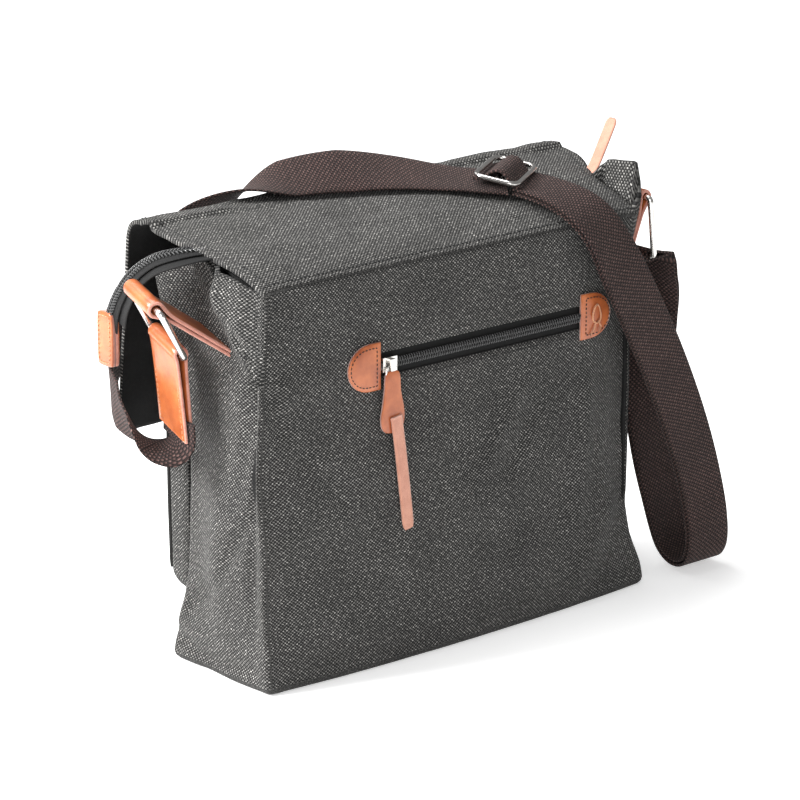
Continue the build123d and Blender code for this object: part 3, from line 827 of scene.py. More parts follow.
def wall_place(px, py, z):
    """Where a nominal place on the perimeter comes at a height, in mm."""
    front = float(np.interp(z, *FRONT_LINE))
    y = BACK_Y - (BACK_Y - py) * (BACK_Y - front) / (BACK_Y - FRONT_Y)
    at_back = ease(py, 10, 50)
    left = float(np.interp(z, *LEFT_BACK_EDGE)) - SIDE_X
    right = float(np.interp(z, *RIGHT_BACK_EDGE)) + SIDE_X
    waist = ease(z, 22, 70) * (1 - ease(z, 215, 250)) * ease(-py, -5, 44)
    px_in = 8.0 * waist * ease(px, 110, 160) - 3.0 * waist * ease(-px, 110, 160)
    x = px - px_in + left * ease(px, 70, 163) * at_back
    x += right * ease(-px, 112, 163) * (0.35 + 0.65 * at_back)
    if py > 48.5:
        y += back_relief(px, z) * ease(py, 48.5, 52.5)
    if px > 162:
        x += left_relief(y, z) * ease(px, 162, 166.5) * ease(49.5 - py, 0, 15)
        x += 0.8 * ripple(0, y * MM, z * MM, 30, 5.5)
    if px < -162:
        x -= right_relief(y, z) * ease(-px, 162, 166.5) * ease(49.5 - py, 0, 8)
        x -= 13.0 * ease(z, 226, 262) * ease(y, -3, 8) * (1 - ease(y, 43, 51)) * ease(-px, 162, 166.5)
        x -= 0.8 * ripple(0, y * MM, z * MM, 30, 2.5)
    return x, y


def base_rows(places):
    """The body's rows under the walls, from the middle of the base out to its rounded rim."""
    rim = [wall_place(px, py, 5.0) for px, py in places]
    middle = 0.5 * (max(y for _, y in rim) + min(y for _, y in rim))
    return [[(x * wide, middle + (y - middle) * deep, z) for x, y in rim] for wide, deep, z in BASE]


def make_body(m):
    """The canvas body as one sagging shell: four walls and the base, with the back zipper's window."""
    places = perimeter()
    heights = [5.0, 7.5, 10.5] + list(np.arange(14, WINDOW_Z[0] - 2, 3.2))
    heights += list(np.linspace(*WINDOW_Z, 7)) + list(np.linspace(RIM_Z, TOP_Z, 18))
    rows = base_rows(places)
    for z in heights:
        row = []
        for px, py in places:
            x, y = wall_place(px, py, z)
            top = 270.5 if py > 0 else 266.0
            if abs(px) > 162:
                top = float(np.interp(y, *(GUSSET_TOP if px > 0 else RIGHT_TOP)))
            risen = z if z <= RIM_Z else RIM_Z + (z - RIM_Z) * (top - RIM_Z) / (TOP_Z - RIM_Z)
            row.append((x, y, risen))
        rows.append(row)
    grid = np.array(rows) * MM
    around = lengths_along(np.array([(x, y, 0) for x, y in places] + [(*places[0], 0)]))[:-1] * MM
    up = [row[0][2] * MM for row in rows]
    for r in range(len(BASE)):
        up[r] = -0.05 * (len(BASE) - r) / len(BASE)
    uv = np.array([[(a, u) for a in around] for u in up])
    columns_x = [p[0] for p in places]
    row_z = [None] * len(BASE) + heights

    def in_window(r, c):
        if row_z[r] is None or places[c][1] < BACK_Y or places[(c + 1) % len(places)][1] < BACK_Y:
            return False
        middle = 0.5 * (columns_x[c] + columns_x[(c + 1) % len(places)])
        return WINDOW_X[0] < middle < WINDOW_X[1] and WINDOW_Z[0] - 0.1 <= row_z[r] < WINDOW_Z[1] - 0.1

    cloths = [m["canvas"], m["lining"], m["canvas"]]
    shell = cloth_piece("body_shell", grid, 3 * MM, uv, cloths, wrap=True, cap=True, skip=in_window)
    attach(shell, "bag")
    normals = grid_normals(grid, True)
    side = [c for c, (px, py) in enumerate(places) if px < -165 and -20 < py < 46]
    inner = (grid - normals * 3.3 * MM)[-FACING_ROWS:, side][:, ::-1]
    facing_uv = uv[-FACING_ROWS:, side][:, ::-1]
    facing = cloth_piece("gusset_facing", inner, 0.9 * MM, facing_uv, [m["canvas"]] * 3)
    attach(facing, "bag")
    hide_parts("back_panel", "front_panel", "bottom_panel", "gusset_left", "gusset_right")
    lines = []
    for z, bulge in zip(STITCH_Z, (0.0, 1.0)):
        across = np.linspace(70, -107, 60)
        run = [(x, BACK_Y - 0.12 + bulge * back_relief(x, z), z) for x in across]
        lines.append((np.array(run) * MM, np.tile(TO_BACK, (60, 1))))
    sewn = stitches("body_stitches", lines, m["thread"], radius=FINE_THREAD)
    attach(sewn, "bag")


def left_wall_x(y, z):
    """How far out the left side wall is at a place, in mm."""
    front = float(np.interp(z, *FRONT_LINE))
    nominal = BACK_Y - (BACK_Y - y) * (BACK_Y - FRONT_Y) / (BACK_Y - front)
    return wall_place(SIDE_X, nominal, z)[0]


def make_corner_fold(m):
    """The back's canvas folded round the left corner and over the side wall."""
    edge = smooth_line([(-4, 281), (5, 272.5), (13, 262), (19, 250), (29, 239), (41, 226), (49, 211)], 48, 2)
    rows = []
    for i, (y, z) in enumerate(edge):
        along = i / (len(edge) - 1)
        corner_y, corner_z = 51.5, 268.5 - 60 * along
        lift = 5.0 * ease(along, 0, 0.3) * (1 - 0.5 * ease(along, 0.75, 1))
        row = [(left_wall_x(y + 2, z) - 1.5, y + 2, z), (left_wall_x(y, z) + 0.25 * lift, y - 0.6, z - 0.4)]
        for share in np.linspace(0.02, 1, 22):
            at_y, at_z = y + (corner_y - y) * share, z + (corner_z - z) * share
            wall = left_wall_x(min(at_y, 49.0), min(at_z, 268))
            row.append((wall + 1.2 + lift * (1 - share) ** 1.5 - 3.4 * share ** 6, at_y, at_z))
        rows.append(row)
    grid = np.array(rows) * MM
    uv = grid[:, :, 1:].copy()
    normals = grid_normals(grid, False)
    if normals[20, 12, 0] < 0:
        grid, uv = grid[:, ::-1], uv[:, ::-1]
    fold = cloth_piece("corner_fold", grid, 1.2 * MM, uv, [m["canvas"]] * 3)
    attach(fold, "bag")


def grid_rows(grid, *places):
    """For stitches on a grid of points: the points at each place, with the grid's normals there."""
    normals = grid_normals(grid, False)
    return [(grid[place], normals[place]) for place in places]


# Flap -----------------------------------------------------------------------------------------
FLAP_PROFILE = [
    (53.6, 271.6), (40, 278.3), (24, 283.6), (-8, 290.8), (-40, 295.4), (-58, 297.4), (-68.5, 296.8),
    (-75.5, 291), (-79.0, 280), (-81.5, 262), (-86, 225), (-91.5, 185), (-96.5, 149),
]
FLAP_LEFT = ((0, 30, 66, 100, 130, 280), (165.5, 169, 172.5, 173.5, 174, 173))
FLAP_RIGHT = (
    (0, 16, 48, 62, 76, 92, 106, 124, 160, 280),
    (-163, -164, -168, -173, -181, -188, -189, -186, -181, -177),
)
FLAP_ROWS, FLAP_COLUMNS = 110, 150


def flap_place(profile, reach, row, share):
    """A point of the flap's outer face: row along its profile, share from its left edge to its right."""
    down = reach[row]
    left = float(np.interp(down, *FLAP_LEFT))
    right = float(np.interp(down, *FLAP_RIGHT))
    x = left + (right - left) * share
    y, z = profile[row]
    slope = profile[min(row + 1, len(profile) - 1)] - profile[max(row - 1, 0)]
    slope = slope / np.linalg.norm(slope)
    out_y, out_z = slope[1], -slope[0]
    if out_z < 0 and down < 110:
        out_y, out_z = -out_y, -out_z
    if down >= 110 and out_y > 0:
        out_y, out_z = -out_y, -out_z
    lift = 1.5 * ripple(x * MM, down * MM, 0, 14, 4.2) + 0.7 * ripple(x * MM, down * MM, 0, 33, 6.6)
    lift += 0.3 * ripple(x * MM, down * MM, 0, 85, 9.3)
    lift *= 1.5 * ease(down, 2, 18)
    on_top = 1 - ease(down, 105, 135)
    lift -= 3.0 * on_top * ease(abs(x), 148, 176)
    lift -= 1.8 * on_top * bell(x - 40, 90) * bell(down - 60, 28)
    front = ease(down, 125, 160)
    lift += front * (1.8 * math.sin((x + 20) / 38) + 1.2 * math.sin(x / 17 + 1)) * ease(down, 150, 275)
    lift += creased(x, down, FLAP_CREASES)
    return x, y + out_y * lift, z + out_z * lift


FLAP_CREASES = (
    ((150, 112), (70, 96), -1.4, 7), ((168, 70), (140, 20), 1.2, 6), ((60, 60), (-30, 42), 1.1, 5),
    ((-30, 60), (-60, 20), -1.0, 6), ((-70, 25), (-20, 12), 0.9, 4), ((-130, 90), (-160, 40), 1.4, 7),
    ((-100, 70), (-150, 62), -1.2, 7), ((100, 40), (150, 48), 0.9, 7), ((0, 100), (-90, 108), -1.0, 6),
)


def make_flap(m):
    """The flap: canvas outside and lining inside, folded softly at its ridge."""
    profile = smooth_line(FLAP_PROFILE, FLAP_ROWS, 2)
    reach = lengths_along(profile)
    shares = np.linspace(0, 1, FLAP_COLUMNS)
    grid = np.array([[flap_place(profile, reach, r, s) for s in shares] for r in range(FLAP_ROWS)]) * MM
    uv = np.array([[(grid[r, c, 0], reach[r] * MM) for c in range(FLAP_COLUMNS)] for r in range(FLAP_ROWS)])
    flap = cloth_piece("flap_cloth", grid, 2.9 * MM, uv, [m["canvas"], m["lining"], m["canvas"]])
    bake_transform(flap)
    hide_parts("flap_top", "flap_top_lining", "flap_front", "flap_front_lining")
    down, across = slice(2, -3), slice(3, -3)
    edges = ((down, 3), (down, FLAP_COLUMNS - 4), (-4, across), (-7, across), (2, slice(1, -1)))
    lines = grid_rows(grid, *edges)
    hem = stitches("flap_stitches", lines, m["thread"])
    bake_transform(hem)


# Pockets --------------------------------------------------------------------------------------
def hanging_pocket(name, x_middle, half, wall_y, face_y, z_low, z_high, corner, thickness, materials):
    """An open-topped pocket: front face, rounded sides and a rounded bottom, against a wall."""
    inward = 1 if wall_y > face_y else -1
    depth = abs(wall_y - face_y)
    places = [(half, 0.0), (half, 0.5 * (depth - corner))]
    for angle in np.linspace(0, math.pi / 2, 7):
        places.append((half - corner + corner * math.cos(angle), depth - corner + corner * math.sin(angle)))
    places += [(x, depth) for x in np.linspace(half - corner, corner - half, 60)[1:-1]]
    for angle in np.linspace(math.pi / 2, math.pi, 7):
        places.append((corner - half + corner * math.cos(angle), depth - corner + corner * math.sin(angle)))
    places += [(-half, 0.5 * (depth - corner)), (-half, 0.0)]
    rows, run = [], []
    roll = corner * 1.2
    for angle in np.linspace(0, math.pi / 2, 8)[:-1]:
        share = math.sin(angle)
        z = z_low + roll * (1 - math.cos(angle))
        rows.append([(x * (0.985 + 0.015 * share), d * share, z) for x, d in places])
        run.append(roll * angle)
    for z in np.linspace(z_low + roll, z_high, 26):
        rows.append([(x, d, z) for x, d in places])
        run.append(roll * (math.pi / 2 - 1) + z - z_low)
    grid = []
    for row in rows:
        line = []
        for x, d, z in row:
            sag = 1.2 * ripple(x * MM, z * MM, 0, 26, 7.3) * ease(d, depth * 0.5, depth)
            line.append((x_middle + x, wall_y - inward * (d + sag), z))
        grid.append(line)
    grid = np.array(grid) * MM
    if inward > 0:
        grid = grid[:, ::-1]
    across = lengths_along(grid[10])
    uv = np.array([[(a, r * MM) for a in across] for r in run])
    return cloth_piece(name, grid, thickness * MM, uv, materials), grid


def make_front_pocket(m):
    """The box pocket on the front, with its piped edge and a topstitched mouth."""
    materials = [m["canvas"], m["lining"], m["canvas"]]
    pocket, grid = hanging_pocket(
        "pocket_cloth", x_middle=0, half=156, wall_y=-41.2, face_y=-66, z_low=46, z_high=212, corner=9,
        thickness=2.0, materials=materials,
    )
    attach(pocket, "bag")
    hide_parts("front_pocket")
    lines = grid_rows(grid, (-2, slice(4, -4)), (-3, slice(4, -4)))
    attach(stitches("pocket_stitches", lines, m["thread"]), "bag")
    above_bottom = slice(7, None)
    corners = grid_rows(grid, (above_bottom, 5), (above_bottom, -6))
    edges = [points + normals * 0.0008 for points, normals in corners]
    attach(tubes("pocket_piping", edges, 0.0016, m["canvas"], sides=10), "bag")


def make_back_pouch(m):
    """The hidden pouch behind the back zipper."""
    materials = [m["lining"]] * 3
    middle = sum(WINDOW_X) / 2
    pouch, _ = hanging_pocket(
        "pouch_cloth", x_middle=middle, half=95, wall_y=49.3, face_y=41.7, z_low=62, z_high=222, corner=3,
        thickness=1.0, materials=materials,
    )
    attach(pouch, "bag")
    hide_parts("back_pocket_pouch")


# Zippers --------------------------------------------------------------------------------------
MAIN_ROD, BACK_ROD, TAIL_ROD = 0.00042, 0.00068, 0.00072
HALF_TOOTH = ((-0.0004, 0.0), (0.0008, 0.0004), (0.0020, 0.0004), (0.0028, -0.0002))


def rod_shape(width, radius):
    """A coil tooth's points: metres out from the zipper's centre line, and up."""
    shares = ((-0.10, 0.0), (0.25, 0.55), (0.70, 0.55), (1.0, -0.2))
    return [(out * width / 2, up * radius * 1.5) for out, up in shares]


def teeth(name, path, normals, shape, pitch, material, radius, lean=0.0, sides=(-1, 1)):
    """A coil zipper's teeth: short rods either side of the centre line, half a pitch apart."""
    values = np.concatenate(directions(path, normals), axis=1)
    total = lengths_along(path)[-1]
    runs = []
    for i in range(int(total / pitch)):
        for sign in sides:
            at = along_path(path, values, (i + (0.5 if sign > 0 else 0.0)) * pitch)
            point, t, n, s = at[:3], at[3:6], at[6:9], at[9:12]
            runs.append([point + s * (sign * out) - t * (lean * out) + n * up for out, up in shape])
    return tubes(name, runs, radius, material)


def make_back_zipper(m):
    """The back zipper's teeth, the strip under them, its two patches and the loose thread."""
    path = np.array([(x, BACK_Y + 0.3, ZIPPER_Z) for x in np.linspace(WINDOW_X[1], WINDOW_X[0], 80)]) * MM
    up = np.tile(TO_BACK, (len(path), 1))
    crest = path + np.array((0, 0.0006, 0))
    shape = rod_shape(6.4 * MM, BACK_ROD)
    coil = teeth("back_teeth", crest, up, shape, 2.1 * MM, m["coil"], BACK_ROD, lean=0.15)
    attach(coil, "bag")
    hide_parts("back_zip_coil")
    sunk = path - np.array((0, 0.0010, 0))
    bed = ribbon("back_coil_bed", sunk, up, 5.4 * MM, 1.0 * MM, [m["tape"]])
    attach(bed, "bag")
    make_patch("patch_cover_left", "patch_left", WINDOW_X[1], 1, m)
    make_patch("patch_cover_right", "patch_right", WINDOW_X[0], -1, m)
    make_loose_thread(m)


def make_patch(name, node, at, sign, m):
    """A half-round leather patch over one end of the back zipper, with its stitches."""
    half, reach = 16.0, 18.5
    bend = np.linspace(0.25, math.pi - 0.25, 26)
    outline = [(-1.0, -half), (-1.0, half), (8, half)]
    outline += [(8 + reach * math.sin(a), half * math.cos(a)) for a in bend]
    outline += [(8, -half)]
    outline = [(-sign * px * MM, pz * MM) for px, pz in outline[::-sign]]
    origin = Vector((at, BACK_Y + 0.3, ZIPPER_Z)) * MM
    patch = plate(name, origin, (-1, 0, 0), (0, 0, 1), outline, 1.8 * MM, 0.9 * MM,
                  [m["leather"], m["raw_edge"]])
    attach(patch, "bag")
    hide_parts(node)
    centre = np.mean(outline, axis=0)
    ring = [centre + (np.asarray(p) - centre) * 0.80 for p in outline + outline[:1]]
    line = np.array([(origin.x - p[0], origin.y + 2.15 * MM, origin.z + p[1]) for p in ring])
    sewn = stitches(name + "_stitches", [(line, np.tile(TO_BACK, (len(line), 1)))], m["thread"],
                    pitch=0.0028, length=0.0019, radius=FINE_THREAD)
    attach(sewn, "bag")


def make_loose_thread(m):
    """The looped tan thread that lies on the right patch."""
    x, y, z = WINDOW_X[0] - 12.0, BACK_Y + 3.6, ZIPPER_Z + 1.0
    loop = [(x + 3.6 * math.cos(a), y + 0.7 * math.sin(2 * a), z + 6.5 * math.sin(a))
            for a in np.linspace(-1.9, 4.6, 26)]
    ends = [[(x - 1, y, z - 5), (x - 3.5, y + 0.6, z - 9), (x - 2.5, y + 0.2, z - 13)],
            [(x + 1, y, z - 5), (x + 2.6, y + 0.4, z - 10), (x + 6, y, z - 14.5)]]
    runs = [np.array(run) * MM for run in [loop] + ends]
    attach(tubes("loose_thread", runs, 0.0006, m["tan_thread"]), "bag")


def make_back_pull(m):
    """The back slider's leather pull and suede strip."""
    corners = [(-5.0, 3.0), (5.0, 3.0), (6.6, -2), (6.8, -12), (9.5, -22), (10.4, -31), (8, -38), (0, -40),
               (-8, -38), (-10.4, -30), (-8.2, -20), (-6.6, -10), (-6.2, -2)]
    outline = [(px * MM, pz * MM) for px, pz in smooth_outline(corners, 3)][::-1]
    origin = Vector((63.2, 55.9, 199.0)) * MM
    pull = plate("pull_leather", origin, (-1, 0, 0), (0, 0, 1), outline, 2.0 * MM, 0.2 * MM,
                 [m["leather"], m["raw_edge"]])
    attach(pull, "back_pull")
    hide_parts("back_pull_leather")
    hang = [(61.6, 59.0, 171), (58.6, 59.2, 150), (55.8, 59.4, 128), (52.6, 59.0, 105), (50.2, 58.4, 87.5)]
    line = smooth_line(hang, 40)
    widths = [1.0] * 36 + [0.97, 0.88, 0.70, 0.36]
    facing = np.tile(TO_BACK, (len(line), 1))
    strip = ribbon("pull_suede", line * MM, facing, 9.6 * MM, 1.9 * MM, [m["suede"]], widths=widths)
    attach(strip, "back_pull")
    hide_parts("back_pull_strip")


ZIP_Y, ZIP_Z = -6.0, 262.0
CLOSURE_ROWS, CLOSURE_COLUMNS = 44, 20
CLOSURE_HALF_LENGTH = 163.6
# Each panel's hinge line on the body, in y and z.
REAR_HINGE, FORE_HINGE = (46.8, 266.8), (-58.2, 265.6)


def closure_height(x, left):
    """Height of the closure's centre line: level, then up to the side wall's top edge."""
    if left:
        return ZIP_Z + 20.5 * ease(x, 132, 163)
    return ZIP_Z + 9.0 * ease(-x, 156, 163)


def make_closure(m):
    """The top closure: for each side of the zipper, a left and a right half."""
    for side, hinge, sign in (("rear", REAR_HINGE, 1), ("fore", FORE_HINGE, -1)):
        for end, direction in (("left", 1), ("right", -1)):
            rows = []
            for x in np.linspace(0, CLOSURE_HALF_LENGTH, CLOSURE_ROWS) * direction:
                top = closure_height(x, direction > 0)
                line = []
                for share in np.linspace(0, 1, CLOSURE_COLUMNS):
                    y = hinge[0] + (ZIP_Y + sign * 0.6 - hinge[0]) * share
                    slack = -2.0 * math.sin(math.pi * share) + 0.8 * ripple(x * MM, y * MM, 0, 30, 2.2)
                    line.append((x, y, hinge[1] + (top - hinge[1]) * share ** 1.15 + slack * (1 - share)))
                rows.append(line)
            grid = np.array(rows) * MM
            zip_column = -1
            if sign == direction:
                grid = grid[:, ::-1]
                zip_column = 0
            uv = grid[:, :, :2].copy()
            name = f"closure_{side}_{end}"
            panel = cloth_piece(name, grid, 1.6 * MM, uv, [m["canvas"], m["lining"], m["tape"]])
            inner = grid[:, zip_column]
            toward = np.tile((0.0, 0.0, 1.0), (len(inner), 1))
            lay = inner + np.array((0, sign * 6.0, 0.9)) * MM
            tape = ribbon(name + "_tape", lay, toward, 13 * MM, 0.8 * MM, [m["tape"]])
            crest = inner + np.array((0, 0, 1.4)) * MM
            coil = teeth(name + "_teeth", crest, toward, HALF_TOOTH, 1.35 * MM, m["coil"], MAIN_ROD,
                         sides=(sign * direction,))
            for piece in (panel, tape, coil):
                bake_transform(piece)
            if direction > 0:
                node = "back" if side == "rear" else "front"
                ends = ["zip_end_left", "zip_end_right"] if side == "rear" else []
                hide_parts(f"zip_panel_{node}", *ends)
                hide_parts(f"main_zip_tape_{node}")
                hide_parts(f"main_zip_coil_{node}")


# The tail's points in mm, each with the direction that its face looks.
TAIL = [
    (150, -6, 283.6, 0, 0, 1),
    (160, -6.5, 285.4, 0, 0, 1),
    (169, -9, 286.6, 0.1, 0, 1),
    (179, -17, 285.6, 0.35, 0.05, 1),
    (187, -32, 280, 0.6, 0, 0.8),
    (191.5, -49, 268, 0.85, -0.1, 0.5),
    (192.3, -63, 253, 1, -0.1, 0.3),
    (191.6, -73, 238, 1, -0.05, 0.1),
    (190.8, -77, 226, 1, 0, 0),
]


def make_zip_tail(m):
    """The main zipper's free end past the left side, and its leather tab."""
    both = smooth_line(TAIL, 90)
    path, facing = both[:, :3] * MM, both[:, 3:]
    _, normal, side = directions(path, facing)
    inward = path + side * 3.0 * MM
    tape = ribbon("tail_tape", inward, facing, 12 * MM, 1.0 * MM, [m["tape"]])
    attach(tape, "bag")
    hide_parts("zip_tail")
    wide = path[8:-6] + side[8:-6] * 9 * MM - normal[8:-6] * 1.8 * MM
    lower = ribbon("tail_underlap", wide, facing[8:-6], 15 * MM, 1.2 * MM, [m["lining"]])
    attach(lower, "bag")
    shape = rod_shape(7.0 * MM, TAIL_ROD)
    crest = path + normal * 1.1 * MM
    coil = teeth("tail_teeth", crest, facing, shape, 2.6 * MM, m["coil"], TAIL_ROD, lean=0.9)
    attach(coil, "bag")
    corners = [(-8.2, -16.5), (-6.2, -18.5), (6.2, -18.5), (8.2, -16.5)]
    outline = smooth_outline(corners + [(-py, -pz) for py, pz in corners], 2)
    outline = [(py * MM, pz * MM) for py, pz in outline]
    for name, direction in (("end_tab_outer", 1), ("end_tab_inner", -1)):
        shape = outline if direction > 0 else [(-a, b) for a, b in outline][::-1]
        origin = Vector((191.0 + 0.05 * direction, -78, 218.5)) * MM
        leaf = plate(name, origin, (0, direction, 0), (0, 0, 1), shape, 3.2 * MM, 0.3 * MM,
                     [m["leather"], m["raw_edge"]])
        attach(leaf, "bag")
        if direction > 0:
            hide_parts("zip_end_tab")
        face_x = origin.x + direction * 3.45 * MM
        ring = [(0.74 * a, 0.86 * b) for a, b in outline]
        line = np.array([(face_x, origin.y + a, origin.z + b) for a, b in ring + ring[:1]])
        sewn = stitches(name + "_stitches", [(line, np.tile((float(direction), 0, 0), (len(line), 1)))],
                        m["tan_thread"], pitch=0.0030, length=0.0021, radius=FINE_THREAD)
        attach(sewn, "bag")


def make_main_pull(m):
    """The main slider's suede strip, led over the right side wall."""
    line = smooth_line([(-154.3, 267.0), (-157.5, 269.0), (-160.0, 277), (-163.0, 284.6), (-168.5, 285.8),
                        (-175, 289.0), (-181, 298), (-188, 310.5), (-194.4, 322.3)], 50, 2)
    path = np.array([(x, ZIP_Y, z) for x, z in line]) * MM
    facing = np.tile((1.0, 0.0, 0.45), (50, 1))
    facing[:26] = (0.2, 0, 1)
    widths = [1.0] * 47 + [0.95, 0.82, 0.5]
    strip = ribbon("main_pull_suede", path, facing, 10 * MM, 1.7 * MM, [m["suede"]], widths=widths)
    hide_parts("main_pull_strip")
    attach(strip, "main_slider")
    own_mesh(strip)


# Leather fittings -----------------------------------------------------------------------------
def unit(*v):
    return Vector(v).normalized()


def square_to(axis, vector):
    return (vector - axis * axis.dot(vector)).normalized()


LEFT_ACROSS = unit(-0.13, -0.958, 0.259)
LEFT_TAB_OUT = unit(0.78, -0.27, 0.56)
LEFT_LOOP = Vector((0.2065, -0.0177, 0.2599))
LEFT_RING_DOWN = square_to(LEFT_ACROSS, Vector((-0.54, -0.075, -0.84)))
LEFT_END_DOWN = unit(-0.045, 0.07, -0.996)
RIGHT_ACROSS = unit(0, -1, 0)
RIGHT_TAB_OUT = unit(-0.36, 0, 0.933)
RIGHT_LOOP = Vector((-0.1815, 0.023, 0.276))
RING_LENGTH = 0.042
LEATHER = 0.0023
STRAP_LEATHER_WIDTH = 0.036


def leather_loop(name, origin, out, across, m, node, length, gap, inner, width):
    """A strip folded round a ring's bar and closed on itself: its reach, the gap between its layers,
    its inner radius at the bar and its width.  Also gives its line and the directions along it."""
    up = square_to(out, out.cross(across))
    radius = inner + LEATHER / 2
    flat = gap / 2 + LEATHER / 2
    upper = [(-length, flat), (-0.7 * length, flat), (-0.45 * length, flat * 1.1)]
    upper.append((-2.6 * radius, flat * 1.25))
    bend = np.linspace(math.radians(125), math.radians(-125), 11)
    arc = [(radius * math.cos(a), radius * math.sin(a)) for a in bend]
    line = upper + arc + [(a, -b) for a, b in upper[::-1]]
    path = [origin + out * a + up * b for a, b in line]
    facing = [up] * 4 + [(out * a + up * b).normalized() for a, b in arc] + [-up] * 4
    both = smooth_line(np.concatenate([np.array(path), np.array(facing)], axis=1), 120)
    line, facing = both[:, :3], both[:, 3:]
    tangent, normal, _ = directions(line, facing)
    across = np.array(across)
    ring, sides = section_ring(width, LEATHER)
    rows = len(line)
    sides_along, full_width = np.tile(across, (rows, 1)), [1.0] * rows
    points, place, faces = swept(line, normal, sides_along, ring, full_width, lengths_along(line))
    kinds = sides * (rows - 1) + [1, 1]
    flip = (np.cross(normal[0], tangent[0]) @ across) < 0
    if flip:
        faces = [f[::-1] for f in faces]
    first = tuple(row_numbers(0, len(ring)))
    last = tuple(row_numbers(rows - 1, len(ring)))
    faces += [first[::-1] if flip else first, last if flip else last[::-1]]
    piece = new_piece(name, points, faces, [m["leather"], m["raw_edge"]], kinds, place)
    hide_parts(node)
    return piece, line, normal, across


def sew_along(name, line, normal, across, m, first, last):
    """Two rows of stitches on the strap end's outer face, near its long edges."""
    lines = []
    for sign in (-1, 1):
        inset = across * (sign * (STRAP_LEATHER_WIDTH / 2 - 0.0035))
        run = line[first:last] + inset + normal[first:last] * (LEATHER / 2)
        lines.append((run, normal[first:last]))
    sewn = stitches(name, lines, m["tan_thread"], pitch=0.0032, length=0.0022, radius=0.00034)
    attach(sewn, "left_ring")


def make_leather_fittings(m):
    """The two tabs and the strap's leather end."""
    tab, *_ = leather_loop(
        "tab_leather_left", LEFT_LOOP, LEFT_TAB_OUT, LEFT_ACROSS, m, "tab_left",
        length=0.064, gap=0.0002, inner=0.0035, width=0.034,
    )
    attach(tab, "bag")
    low_bar = LEFT_LOOP + LEFT_RING_DOWN * RING_LENGTH
    end, line, normal, across = leather_loop(
        "strap_leather", low_bar, -LEFT_END_DOWN, LEFT_ACROSS, m, "strap_end_leather",
        length=0.058, gap=0.0022, inner=0.0031, width=STRAP_LEATHER_WIDTH,
    )
    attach(end, "left_ring")
    for suffix, first, last in (("", 1, 34), ("_back", 86, 119)):
        sew_along("strap_leather_stitches" + suffix, line, normal, across, m, first, last)
    tab, *_ = leather_loop(
        "tab_leather_right", RIGHT_LOOP, RIGHT_TAB_OUT, RIGHT_ACROSS, m, "tab_right",
        length=0.034, gap=0.0002, inner=0.0031, width=0.037,
    )
    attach(tab, "bag")


# Insert ---------------------------------------------------------------------------------------
# The visual insert is drawn in along x, so that it stays inside the soft side walls.
INSERT_DRAW = 0.955


def padded_block(name, node, body, m, draw=1.0):
    """A foam panel in loop cloth: rounded edges, a slightly crowned face, drawn in by the soft side walls."""
    low, high = (np.array(v) * (draw, 1.0, 1.0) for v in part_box(node))
    middle, half = (low + high) / 2, (high - low) / 2
    radius = min(0.0035, 0.49 * float(half.min()))
    thin = int(np.argmin(half))
    steps = [max(4, min(26, int(2 * h / 0.006))) for h in half]
    points, faces, index = [], [], {}

    def corner(key):
        if key not in index:
            p = np.array([-1 + 2 * k / s for k, s in zip(key, steps)]) * half
            core = np.clip(p, -(half - radius), half - radius)
            away = p - core
            size = np.linalg.norm(away)
            q = core + away / size * radius if size > 1e-12 else p
            q[thin] *= 1.0 - 0.16 * sum((abs(q[k]) / half[k]) ** 6 for k in range(3) if k != thin) / 2
            index[key] = len(points)
            points.append(middle + q)
        return index[key]

    for axis in range(3):
        a, b = [k for k in range(3) if k != axis]
        for level, turn in ((0, True), (steps[axis], False)):
            for i in range(steps[a]):
                for j in range(steps[b]):
                    quad = []
                    for di, dj in ((0, 0), (1, 0), (1, 1), (0, 1)):
                        key = [0, 0, 0]
                        key[axis], key[a], key[b] = level, i + di, j + dj
                        quad.append(corner(tuple(key)))
                    if turn != (axis == 1):
                        quad = quad[::-1]
                    faces.append(tuple(quad))
    pad = new_piece(name, points, faces, [m["padding"]])
    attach(pad, body)
    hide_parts(node)


def make_insert(m):
    """The padded insert's floor, walls and movable dividers."""
    for part in ("floor", "back_wall", "front_wall", "left_wall", "right_wall"):
        padded_block(f"pad_{part}", f"insert_{part}", "bag", m, draw=INSERT_DRAW)
    padded_block("pad_divider_left", "divider_left", "left_divider", m)
    padded_block("pad_divider_right", "divider_right", "right_divider", m)


# Finishes of the CAD parts that stay, stage and light -----------------------------------------
def finish_cad_parts(m):
    """Materials for the hardware and hidden parts whose CAD shape is right."""
    finishes = {
        "nickel": ["ring_left", "ring_right", "back_zip_slider", "back_pull_ring", "main_zip_slider",
                   "snap_socket_left", "snap_socket_right", "snap_stud_left", "snap_stud_right"],
        "gunmetal": ["adjuster_frame", "adjuster_bar"],
        "tape": ["back_zip_tape_upper", "back_zip_tape_lower"],
        "board": ["base_board"],
    }
    for finish, nodes in finishes.items():
        for node in nodes:
            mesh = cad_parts[node].data
            mesh.materials.clear()
            mesh.materials.append(m[finish])


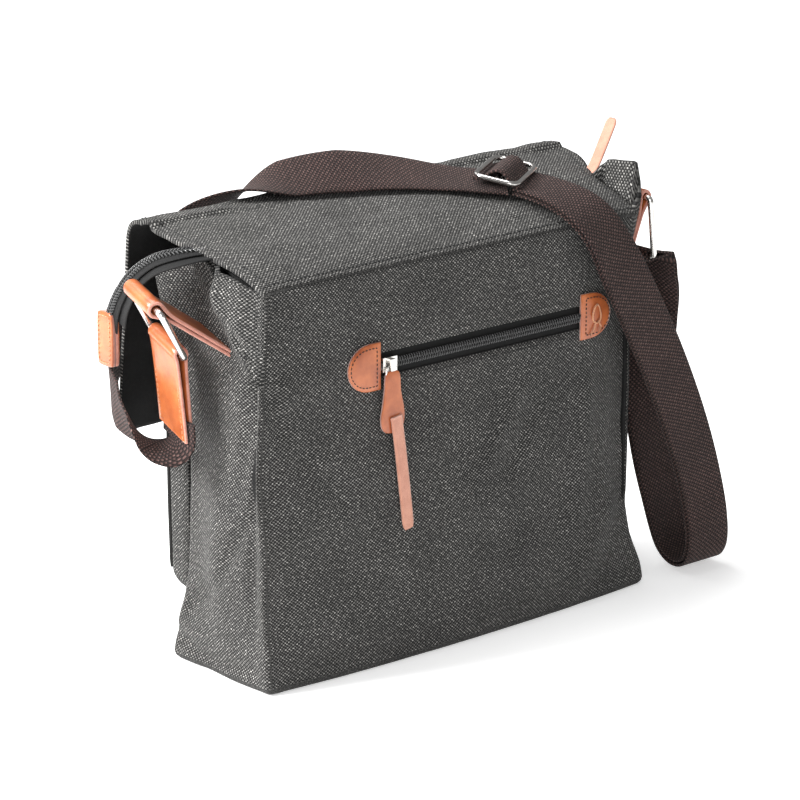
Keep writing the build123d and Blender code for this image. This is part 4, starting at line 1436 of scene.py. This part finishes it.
FLOOR_HALF = 6.0
LIGHT_TARGET = Vector((0, 0, 0.15))
# Each lamp's name, place in metres, width in metres and power in watts.
LAMPS = (
    ("key", (1.9, -0.8, 1.5), 0.8, 112),
    ("top", (0.5, -0.5, 2.4), 1.4, 56),
    ("back_fill", (1.8, 1.7, 1.2), 1.0, 22),
    ("front_fill", (0.4, -2.2, 1.5), 1.6, 12),
)


def make_stage():
    """A pale floor and soft studio light."""
    size = FLOOR_HALF
    mesh = bpy.data.meshes.new("floor")
    corners = [(-size, -size, 0), (size, -size, 0), (size, size, 0), (-size, size, 0)]
    mesh.from_pydata(corners, [], [(0, 1, 2, 3)])
    floor = bpy.data.objects.new("floor", mesh)
    bpy.context.scene.collection.objects.link(floor)
    s = Shading("floor_white", 0.55)
    s.shader.inputs["Base Color"].default_value = (0.93, 0.93, 0.93, 1)
    s.shader.inputs["Emission Color"].default_value = (1, 1, 1, 1)
    s.shader.inputs["Emission Strength"].default_value = 0.42
    mesh.materials.append(s.material)
    world = bpy.data.worlds.new("studio")
    bpy.context.scene.world = world
    world.use_nodes = True
    world.node_tree.nodes["Background"].inputs[0].default_value = (1, 1, 1, 1)
    world.node_tree.nodes["Background"].inputs[1].default_value = 0.32
    for name, place, width, power in LAMPS:
        data = bpy.data.lights.new(name, "AREA")
        data.size = width
        data.energy = power
        lamp = bpy.data.objects.new(name, data)
        lamp.location = place
        lamp.rotation_euler = (LIGHT_TARGET - Vector(place)).to_track_quat("-Z", "Y").to_euler()
        bpy.context.scene.collection.objects.link(lamp)
    bpy.context.scene.view_settings.view_transform = "Standard"


make_camera()
finishes = make_materials()
make_strap(finishes)
make_adjuster_wrap(finishes)
make_body(finishes)
make_corner_fold(finishes)
make_flap(finishes)
make_front_pocket(finishes)
make_back_pouch(finishes)
make_back_zipper(finishes)
make_back_pull(finishes)
make_closure(finishes)
make_zip_tail(finishes)
make_main_pull(finishes)
make_leather_fittings(finishes)
make_insert(finishes)
finish_cad_parts(finishes)
make_stage()
